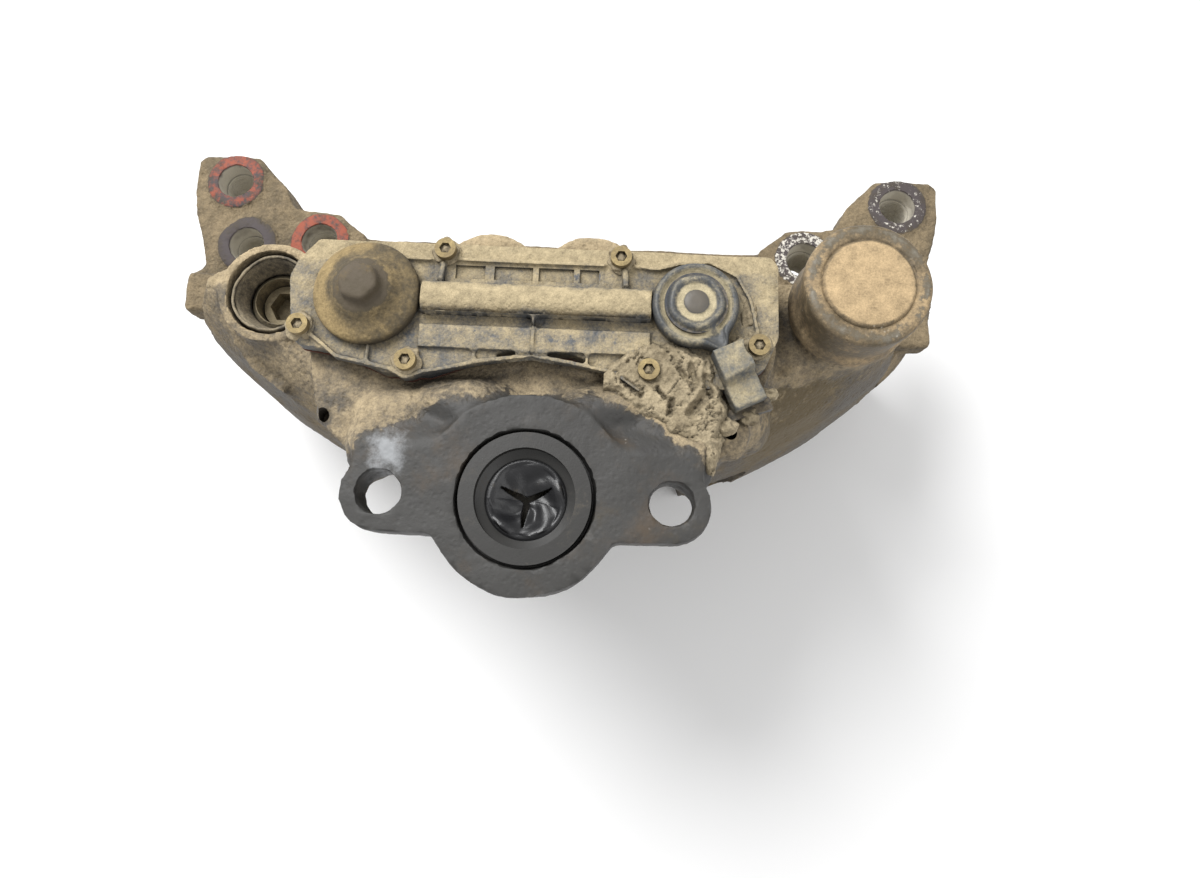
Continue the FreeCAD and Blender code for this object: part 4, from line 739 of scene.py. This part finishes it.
# ------------------------------------------------------------------ lever and its roller
# The lever is a steel forging with a cup for the actuator's rod. It turns an eccentric roller of bearing
# steel that runs on needles in a race.
forged_steel = material("forged_steel", "#77736c", 0.45, 0.85, grain=500, depth=0.0001, amount=0.1)
dressed("lever", forged_steel)
for node in ("eccentric_roller", "bearing_race", "bearing_needles"):
    dressed(node, bright_steel)

# ------------------------------------------------------------------ bridge, threaded tubes and tappets
# The bridge is a steel forging that the roller pushes. Two threaded tubes pass through it and press the
# inner pad through zinc plated tappets.
dressed("bridge", forged_steel)
for side in ("left", "right"):
    dressed("threaded_tube_" + side, bright_steel)
    dressed("tappet_" + side, zinc_steel)

# ------------------------------------------------------------------ tappet bellows
# A moulded rubber bellows seals each tappet. It is tied to the tappet at one end and follows the bridge
# at the other, so it opens as the pad wears.
for side in ("left", "right"):
    bellows = softened("tappet_boot_" + side, bellows_finish)
    low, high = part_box("tappet_boot_" + side)
    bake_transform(bellows)

# ------------------------------------------------------------------ return spring
# A stack of pressed spring steel discs pushes the bridge back when the brake is let off.
# The stack shortens by about the bridge's travel.
spring_finish = material("disc_spring_steel", "#4c4945", 0.4, 0.8, grain=900, depth=0.00006,
                         amount=0.05)
spring = softened("return_spring", spring_finish)
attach(spring, "caliper_body")
low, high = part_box("return_spring")
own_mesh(spring)

# ------------------------------------------------------------------ closing plate
# A zinc plated steel plate closes the mechanism on the disc's side. It is held by screws.
bolt_finish = material("bolt_steel", "#7d6d4e", 0.6, 0.3, grain=700, depth=0.0003, amount=0.5,
                       dust="#9c8a62", dust_scale=90, patch="#6d4a26", patch_amount=0.12,
                       patch_scale=140)
dressed("closing_plate", zinc_steel)
dressed("closing_plate_screws", bolt_finish)

# ------------------------------------------------------------------ adjuster and its chain
# The adjuster sits in the left tube and the follower in the right one. A steel chain over two sprockets
# makes them turn together.
strip_steel = material("spring_steel", "#4c4945", 0.45, 0.7, grain=900, depth=0.00006, amount=0.2)
for node in ("adjuster_unit", "adjuster_hex", "follower_shaft", "sprocket_left", "sprocket_right"):
    dressed(node, bright_steel)
dressed("chain", strip_steel)

# ------------------------------------------------------------------ wear sensor
# The wear sensor is a moulded plastic potentiometer on the follower's shaft.
# The sensor cap covers it.
sensor_plastic = material("sensor_plastic", "#35383d", 0.5, grain=500, depth=0.0001, amount=0.3)
dressed("wear_sensor", sensor_plastic)

# ------------------------------------------------------------------ chain cover, gasket and bolts
# The cover over the chain drive is moulded black plastic, held by six bolts on a paper gasket.
# Two rounded bands stiffen it, with a channel above the upper one, cross ribs and a rim along its edge.
LOW_RIM = [(-103, 71), (-93, 64), (-85, 57.7), (-74, 55.5), (-61, 53), (-54.3, 49.5), (-47, 52.5),
           (-39.6, 53.9), (-22.9, 58.1), (-1.4, 61.3), (15.4, 58.9), (34.6, 55.3), (45, 48.5)]
HIGH_RIM = [(-94.6, 98.7), (-88, 105), (-78, 107.5), (-66, 106), (-58, 103.5), (-48, 103.3)]
HIGH_RIM_RIGHT = [(42, 103.5), (52, 103), (62, 106), (74, 107), (86, 101), (92, 90), (95, 76)]
RIBS = [(-71.6, 57, 63), (-26, 59.5, 66), (-1.5, 61.5, 66), (22.6, 60, 67)]
CHANNELS = [(-37, -24), (-20, -3), (-0.5, 15), (17.5, 26)]


def cover_extras(bm):
    """The moulded rims and cross ribs."""
    strip(bm, LOW_RIM, 2.2, -8, -2.6)
    strip(bm, HIGH_RIM, 2.0, -8, -2.8)
    strip(bm, HIGH_RIM_RIGHT, 2.0, -8, -2.8)
    strip(bm, [(-38, 104), (-20, 103.5), (0, 103.6), (28, 103.8)], 1.8, -8, -2.8)
    for x, low_y, high_y in RIBS:
        strip(bm, [(x, low_y), (x, high_y)], 2.0, -8, -2.2)
    strip(bm, [(-1.2, 62), (-1.2, 82)], 1.8, -8, 0.2)
    for x in (-43, 38):
        strip(bm, [(x, 93), (x * 0.98, 101)], 3.0, -8, -1.5)


def cover_cuts(bm):
    """The channel above the upper band, broken by its ribs."""
    for left, right in CHANNELS:
        box(bm, (left, 95.6, -6.6), (right, 101.8, 4))


body = casting("cover_moulding", "chain_cover", 0.72, 120000,
               cover_cuts, cover_extras, rounds=4, coarse=0.25, fine=0.12)
spots = corners(body)
facing = np.empty(len(body.vertices) * 3)
body.vertices.foreach_get("normal", facing)
wall = np.where(facing.reshape(-1, 3)[:, 2] < 0.2, 2.0, 0.0)
along = (spots[:, 0] > np.where(wall > 0, -54, -52)) & (spots[:, 0] < np.where(wall > 0, 51, 49))
for middle, half, foot, rise in ((86.2, 7.4, -4.6, 5.4), (68.6, 7.2, -5.4, 4.4)):
    across = (spots[:, 1] - middle) / half
    arch = foot + rise * np.sqrt(np.clip(1 - across ** 2, 0, 1))
    reached = np.abs(across) < np.where(wall > 0, 1.35, 1.0)
    spots[:, 2] = np.where(along & reached, np.minimum(spots[:, 2], arch - wall), spots[:, 2])
moved(body, spots)
bands = np.clip(1 - np.abs(spots[:, 1] - 86) / 7.5, 0, 1) ** 0.5 * np.clip((spots[:, 2] + 2) / 2, 0, 1)
bands = np.maximum(bands, np.clip((spots[:, 1] - 101) / 3, 0, 1) * 0.6)
marked(body, "dusty", bands * 0.5)
channel = np.clip(1 - np.abs(spots[:, 1] - 98.7) / 3.4, 0, 1) * (np.abs(spots[:, 0] + 5) < 32)
worn = np.clip(1 - np.abs(spots[:, 1] - 68) / 7, 0, 1) * (spots[:, 0] > -70) * (spots[:, 0] < 46)
marked(body, "wiped", np.clip(channel * 0.32 + worn * 0.16, 0, 0.6))
cover_finish = material("cover_plastic", "#4f5153", 0.55, grain=520, depth=0.0005, amount=0.43,
                        dust="#a8997a", dust_scale=70, wiped="wiped", bare="#5a5c5f", dusty="dusty")
add("cover_moulding", body, "caliper_body", cover_finish, ["chain_cover"])
paper = material("gasket_paper", "#6e4230", 0.8, grain=600, depth=0.0001, amount=0.2)
dressed("cover_gasket", paper)
dressed("cover_bolts", bolt_finish)

# ------------------------------------------------------------------ adjuster cap
# The cap over the adjuster's hexagon is a moulded rubber cone with a nub to pull it off by.
# It is pressed onto the cover and has gone olive brown with dirt.
CAP_SPOT = (-74, 86)


def cap_shape(radius, angle, height):
    """The nub is six-sided, with soft corners."""
    flat = math.cos(((angle + 0.25) % (math.pi / 3)) - math.pi / 6)
    share = max(0.0, min(1.0, (height - 7.5) / 2)) if radius < 9.6 else 0.0
    return radius * (1 - share + share * (0.55 + 0.4 / flat)), angle, height


def joined(bm, upper, lower):
    """Closes the gap between two rings of points."""
    count = len(upper)
    for i in range(count):
        j = (i + 1) % count
        bm.faces.new((upper[i], upper[j], lower[j], lower[i]))


bm = bmesh.new()
rings = [(22.4, -4.9), (23.0, -3.6), (23.0, -1.2), (22.4, 0.1), (20.8, 1.1), (18.4, 2.0), (16.2, 3.0),
         (14.6, 4.2), (13.4, 5.6), (12.2, 6.6), (10.9, 7.3), (9.5, 7.9), (8.9, 8.7), (8.7, 10.2),
         (8.5, 11.6), (8.0, 12.5), (7.0, 12.9), (4.0, 12.95), (0.05, 12.95)]
rows = polar(bm, rings, CAP_SPOT, 96, cap_shape)
inner = [(22.3, -4.9), (21.0, -2.4), (13.0, 2.4), (9.0, 5.6), (6.6, 6.4), (6.2, 10.7), (0.05, 10.8)]
under = polar(bm, inner, CAP_SPOT, 96, lambda r, a, z: (r, a, z))
joined(bm, rows[0], under[0])
body = meshed("adjuster_cap_rubber", bm, 60)
spots = corners(body)
gap = np.hypot(spots[:, 0] - CAP_SPOT[0], spots[:, 1] - CAP_SPOT[1])
marked(body, "wiped", np.clip((13.5 - gap) / 3, 0, 1) * 0.55)
# The brim's outer left side, towards the key light, is made lighter with extra dust: partly dust, partly a
# painted highlight.
leftward = np.clip((CAP_SPOT[0] - spots[:, 0] + 6) / 26, 0, 1)
marked(body, "dusty", np.clip((gap - 15) / 5, 0, 1) * leftward * 0.7)
cap_finish = material("cap_rubber", "#4b4231", 0.75, grain=420, depth=0.0004, amount=0.34,
                      dust="#8e7b56", dust_scale=42, wiped="wiped", bare="#564c3e", dusty="dusty",
                      patch="#6b5a3a", patch_amount=0.16, patch_scale=70)
add("adjuster_cap_rubber", body, "caliper_body", cap_finish, ["adjuster_cap"])

# ------------------------------------------------------------------ sensor cap
# The cap over the wear sensor is moulded rubber with two raised rings and a keyed lobe for the cable.
# Dust lies in its grooves.
SENSOR_SPOT = (68, 86)
LOBE = -1.02


def sensor_shape(radius, angle, height):
    """The outer ring bulges at the cable's lobe, and the inner ring has soft corners."""
    away = (angle - LOBE + math.pi) % (2 * math.pi) - math.pi
    bulge = 6.2 * math.exp(-(away / 0.2) ** 2) if radius > 15 else 0.0
    if 12.6 < radius <= 15:
        bulge = 3.0 * math.exp(-(away / 0.24) ** 2)
    if 8 < radius < 12.4:
        bulge = 0.3 * math.cos(5 * angle + 0.8)
    return radius + bulge, angle, height


bm = bmesh.new()
rings = [(18.0, -4.9), (18.6, -3.5), (18.6, 0.2), (18.1, 1.4), (17.3, 2.2), (16.3, 2.3), (15.4, 1.5),
         (14.6, 0.7), (13.6, 0.6), (12.7, 1.4), (12.2, 3.0), (11.6, 4.2), (10.6, 4.7), (9.6, 4.4),
         (8.8, 3.4), (8.0, 3.0), (6.6, 3.0), (5.6, 3.0), (5.3, 3.3), (4.9, 3.6), (2.0, 3.7), (0.05, 3.7)]
rows = polar(bm, rings, SENSOR_SPOT, 128, sensor_shape)
inner = [(17.0, -4.9), (14.0, -2.0), (8.0, 0.6), (0.05, 1.4)]
under = polar(bm, inner, SENSOR_SPOT, 128, sensor_shape)
joined(bm, rows[0], under[0])
body = meshed("sensor_cap_rubber", bm, 60)
spots = corners(body)
gap = np.hypot(spots[:, 0] - SENSOR_SPOT[0], spots[:, 1] - SENSOR_SPOT[1])
grooves = np.clip(1 - np.abs(gap - 7.0) / 2.0, 0, 1) + np.clip(1 - np.abs(gap - 14.2) / 1.9, 0, 1)
marked(body, "dusty", np.clip(grooves, 0, 1) * 0.85)
marked(body, "wiped", np.clip((5.4 - gap) / 0.6, 0, 1) * 0.8)
sensor_finish = material("sensor_rubber", "#484a4b", 0.5, grain=500, depth=0.00025, amount=0.26,
                         dust="#b0a486", dust_scale=80, dusty="dusty", wiped="wiped", bare="#5b554c")
add("sensor_cap_rubber", body, "caliper_body", sensor_finish, ["sensor_cap"])

# ------------------------------------------------------------------ cable outlet and clip
# The wear sensor's cable left through a moulded plastic box beside its cap, with worn, rounded corners.
# A bent spring steel clip beside it held the cable, which is cut off.
body = casting("outlet_moulding", "cable_outlet", 0.7, 40000, rounds=7, coarse=0.4, fine=0.15)
spots = corners(body)
along = (spots[:, 0] - SENSOR_SPOT[0]) * math.cos(LOBE) + (spots[:, 1] - SENSOR_SPOT[1]) * math.sin(LOBE)
spots[:, 2] -= 4.5 * np.clip((along - 35.5) / 1.6, 0, 1) * np.clip((spots[:, 2] + 13) / 6, 0, 1)
moved(body, spots)
outlet_finish = material("outlet_plastic", "#565a5c", 0.6, grain=420, depth=0.0006, amount=0.42,
                         dust="#a09478", dust_scale=55)
add("outlet_moulding", body, "caliper_body", outlet_finish, ["cable_outlet"])
dressed("cable_clip", strip_steel)

# ------------------------------------------------------------------ actuator boot and membrane
# The boot is a moulded rubber ring pressed into the flange's bore. The rubber membrane across it has
# torn into three flaps round the lever's cup, and sags into the bore.
boot_finish = material("boot_ring", "#2b2a28", 0.45, grain=700, depth=0.00008, pits=0.0, amount=0.1,
                       dust="#5f5648", dust_scale=70, patch="#48433a", patch_amount=0.12, patch_scale=60)
dressed("actuator_boot", boot_finish)
TEARS = (0.45, 2.72, 4.62)


def tear_gap(radius, angle):
    """How far a point is from the nearest tear, along the circle, in mm."""
    away = min(abs((angle - tear + math.pi) % (2 * math.pi) - math.pi) for tear in TEARS)
    return away * radius


def membrane_shape(radius, angle, height):
    """The flaps sag and curl, more so at their tips."""
    lift = noise.noise(Vector((math.cos(angle), math.sin(angle), radius * 0.09)) * 1.9)
    tip = max(0.0, 1 - radius / 13)
    fold = 0.9 * math.sin(angle * 5 + radius * 0.45) * max(0.0, min(1.0, (radius - 3) / 5))
    fold *= 0.8 if math.pi < angle < 6.1 else 0.35
    shift = 1.1 * lift + (fold if radius < 15 else 0)
    return radius, angle, height + (shift if radius < 15.5 else 0) - 2.2 * tip * (1 + lift)


bm = bmesh.new()
rings = [(20.4, -9.1), (18.5, -9.0), (17.2, -8.4), (16.2, -7.2)]
rings += [(16.2 - 0.46 * k, -7.2 - 3.6 * math.sin(k / 34 * 1.4)) for k in range(1, 35)]
polar(bm, rings, (0, 0), 180, membrane_shape,
      lambda r, a: r > 12.2 or tear_gap(r, a) > 0.25 + 1.5 * max(0.0, 1 - r / 12) ** 0.8)
body = settled(meshed("membrane", bm, 70), ("SOLIDIFY", {"thickness": 0.0009, "offset": -1.0}),
               ("SMOOTH", {"factor": 0.5, "iterations": 2}))
body.shade_smooth()
membrane_finish = material("membrane_rubber", "#18181a", 0.36, grain=600, depth=0.00015, pits=0.1,
                           amount=0.04, dust="#5f5545", dust_scale=80, patch="#3a362f",
                           patch_amount=0.12, patch_scale=110)
add("membrane", body, "caliper_body", membrane_finish, ["boot_membrane"])

# ------------------------------------------------------------------ dried mud
# Cracked mud has dried in the corner between the cover, the sensor's cable outlet and the flange.
# It has also filled the bolts' sockets and the seams round their heads.
MUD_RIM = [(30, 55), (44, 68.5), (56, 69), (66, 67), (76, 61), (76, 54), (80, 46), (81, 38), (79, 31),
           (78, 23), (75, 16), (67, 25), (57, 33), (44, 41.5), (31, 50)]
MUD_HOLES = [((67, 59), (69, 52), 1.3), ((62, 58), (68, 50), 0.9), ((59, 44), (58.4, 38.5), 1.0),
             ((74, 48), (67.5, 39), 1.7), ((38, 52), (46, 46), 1.0), ((73, 55), (76, 47), 1.1),
             ((46, 61), (49, 60), 0.9), ((53, 49), (56, 45), 0.6)]
CRUMBS = [(92, 84, -6.5, 4, 6, 3), (94, 73, -6.5, 4, 5, 3), (88, 71, -6.5, 4, 4, 3),
          (90, 92, -7, 3, 4, 2.5), (101, 51, -13, 5, 3, 4), (97, 46, -12, 4, 3, 3),
          (83, 35, -9, 5, 4, 4), (93, 41, -13, 5, 4, 5)]
BOLT_SPOTS = [(-101.8, 70.2), (-41.3, 107.2), (-54.3, 56.4), (35.3, 106.6), (48.9, 56.5), (95.3, 69.2)]
STEP = 0.55


def beside(x, y, a, b):
    """How far a point is from the line between two others."""
    run = Vector(b) - Vector(a)
    share = max(0.0, min(1.0, (Vector((x, y)) - Vector(a)).dot(run) / run.length_squared))
    return (Vector((x, y)) - Vector(a) - run * share).length


def mud_depth(x, y):
    """The height of the mud's surface, or None outside its rim."""
    inside = False
    margin = 99.0
    for (ax, ay), (bx, by) in zip(MUD_RIM, MUD_RIM[1:] + MUD_RIM[:1]):
        margin = min(margin, beside(x, y, (ax, ay), (bx, by)))
        if (ay > y) != (by > y) and x < (bx - ax) * (y - ay) / (by - ay) + ax:
            inside = not inside
    place = Vector((x, y, 0))
    margin = margin if inside else -margin
    margin += 2.2 * noise.noise(place * 0.16) + 0.8 * noise.noise(place * 0.6)
    if margin < -3:
        return None
    level = -1.9 + 0.6 * noise.noise(place * 0.09 + Vector((2, 0, 0)))
    level -= 0.02 * max(0.0, 52 - y) ** 1.3
    level += 0.75 * noise.noise(place * 0.28) + 0.5 * noise.noise(place * 0.75)
    level += 0.25 * noise.noise(place * 1.9)
    level -= 7.0 * max(0.0, 1 - (margin + 3) / 6) ** 2
    for a, b, width in MUD_HOLES:
        away = beside(x, y, a, b) + 0.7 * noise.noise(place * 0.9 + Vector((4, 4, 0)))
        level -= 3.6 * max(0.0, 1 - away / (width * 1.7)) ** 0.8
    crack = abs(noise.noise(place * 0.1 + Vector((9, 4, 2))) + 0.2 * noise.noise(place * 0.5))
    level -= 1.6 * max(0.0, 1 - crack / 0.035)
    return level - 1.2 * max(0.0, 1 - math.hypot(x - 48.9, y - 56.5) / 4.2)


bm = bmesh.new()
columns = {}
for i in range(int(64 / STEP)):
    for j in range(int(58 / STEP)):
        x, y = 30 + i * STEP, 14 + j * STEP
        level = mud_depth(x, y)
        if level is not None:
            columns[i, j] = [bm.verts.new(Vector((x, y, z)) * MM) for z in (level, level - 9)]
cells = {(i, j) for i, j in columns
         if all(k in columns for k in ((i + 1, j), (i, j + 1), (i + 1, j + 1)))}
for i, j in cells:
    ring = [(i, j), (i + 1, j), (i + 1, j + 1), (i, j + 1)]
    bm.faces.new([columns[k][0] for k in ring])
    bm.faces.new([columns[k][1] for k in reversed(ring)])
    for (k, m), (di, dj) in zip(zip(ring, ring[1:] + ring[:1]), ((0, -1), (1, 0), (0, 1), (-1, 0))):
        if (i + di, j + dj) not in cells:
            bm.faces.new((columns[m][0], columns[k][0], columns[k][1], columns[m][1]))
bmesh.ops.delete(bm, geom=[v for v in bm.verts if not v.link_faces], context="VERTS")
for number, (x, y, z, a, b, c) in enumerate(CRUMBS):
    lump(bm, (x, y, z), (a, b, c), number * 3.7, 0.3)
low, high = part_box("cover_bolts")
head = high[2] / MM
for number, (x, y) in enumerate(BOLT_SPOTS):
    lump(bm, (x, y, head - 2.7), (2.8, 2.8, 1.6), number * 1.9, 0.3)
    lump(bm, (x, y, head - 4.3), (6.0, 6.0, 1.9), number * 2.3, 0.35)
body = meshed("mud", bm, 180)
mud_finish = material("dried_mud", "#6f634d", 0.95, grain=260, depth=0.0014, pits=0.7, amount=0.5,
                      dust="#a3957a", dust_scale=45, patch="#4d422f", patch_amount=0.14, patch_scale=90)
add("dried_mud", body, "caliper_body", mud_finish)

# ------------------------------------------------------------------ pads
# Each pad is a block of friction lining bonded to a painted steel backing, with a leaf spring along its
# outer edge. The tappets push the inner pad, and the housing's wall pulls the outer one.
backing_steel = material("backing_steel", "#2b2b2b", 0.5, 0.2, grain=600, depth=0.0001, amount=0.25)
lining = material("friction_lining", "#4a4540", 0.9, grain=350, depth=0.0004, amount=0.2,
                  specks="#9a8f7f", speck_amount=0.2)
for side in ("inner", "outer"):
    dressed(side + "_pad_backing", backing_steel)
    dressed(side + "_pad_lining", lining)
    dressed(side + "_pad_spring", strip_steel)

# ------------------------------------------------------------------ pad retaining bar
# A flat steel bar over the pads keeps them in. It hooks into the housing's outboard wall, and a zinc
# plated pin holds its other end. It is out in the open, so it is rusty and dirty.
bar_finish = material("bar_steel", "#5f5b54", 0.5, 0.5, grain=500, depth=0.0002, amount=0.42,
                      dust="#85765c", dust_scale=35, patch="#5b3d26", patch_amount=0.14, patch_scale=60)
dressed("retainer_bar", bar_finish)
dressed("retainer_pin", zinc_steel)

# ------------------------------------------------------------------ studio
# A pale floor, a large soft light from the upper left, a weak one from the right, a white world and
# the camera. None of it is part of the object.
FLOOR = -262.0
bm = bmesh.new()
box(bm, (-3000, -3000, FLOOR - 20), (3000, 3000, FLOOR - 0.2))
ground = bpy.data.objects.new("floor", meshed("floor", bm))
bpy.context.collection.objects.link(ground)
floor_finish = bpy.data.materials.new("floor_white")
floor_finish.use_nodes = True
surface = floor_finish.node_tree.nodes["Principled BSDF"]
surface.inputs["Base Color"].default_value = (0.9, 0.9, 0.9, 1)
surface.inputs["Roughness"].default_value = 0.9
ground.data.materials.append(floor_finish)
ground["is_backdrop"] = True


def area_light(name, place, target, size, power):
    """A round lamp at a place, aimed at a target."""
    lamp = bpy.data.lights.new(name, "AREA")
    lamp.shape = "DISK"
    lamp.size = size
    lamp.energy = power
    holder = bpy.data.objects.new(name, lamp)
    bpy.context.collection.objects.link(holder)
    holder.location = place
    direction = Vector(target) - Vector(place)
    holder.rotation_euler = direction.to_track_quat("-Z", "Y").to_euler()


area_light("key", (-0.7, 0.9, 1.3), (0, 0.08, -0.05), 1.0, 36)
area_light("fill", (1.1, -0.4, 1.0), (0, 0.05, -0.1), 1.4, 7)
world = bpy.data.worlds.new("studio")
world.use_nodes = True
backdrop = world.node_tree.nodes["Background"]
backdrop.inputs["Color"].default_value = (1, 1, 1, 1)
backdrop.inputs["Strength"].default_value = 0.6
bpy.context.scene.world = world

camera_data = bpy.data.cameras.new("camera")
camera_data.lens = 24
camera_data.sensor_width = 36
camera_data.clip_start = 0.01
camera = bpy.data.objects.new("camera", camera_data)
bpy.context.collection.objects.link(camera)
right = Vector((0.99892, 0.04596, -0.00735))
up = Vector((-0.04361, 0.97938, 0.19729))
back = Vector((0.01627, -0.19676, 0.98032))
turn = Matrix((right, up, back)).transposed().to_4x4()
camera.matrix_world = Matrix.Translation((0.035155, -0.039406, 0.32399)) @ turn
bpy.context.scene.camera = camera
bpy.context.scene.view_settings.view_transform = "Standard"

low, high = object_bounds()
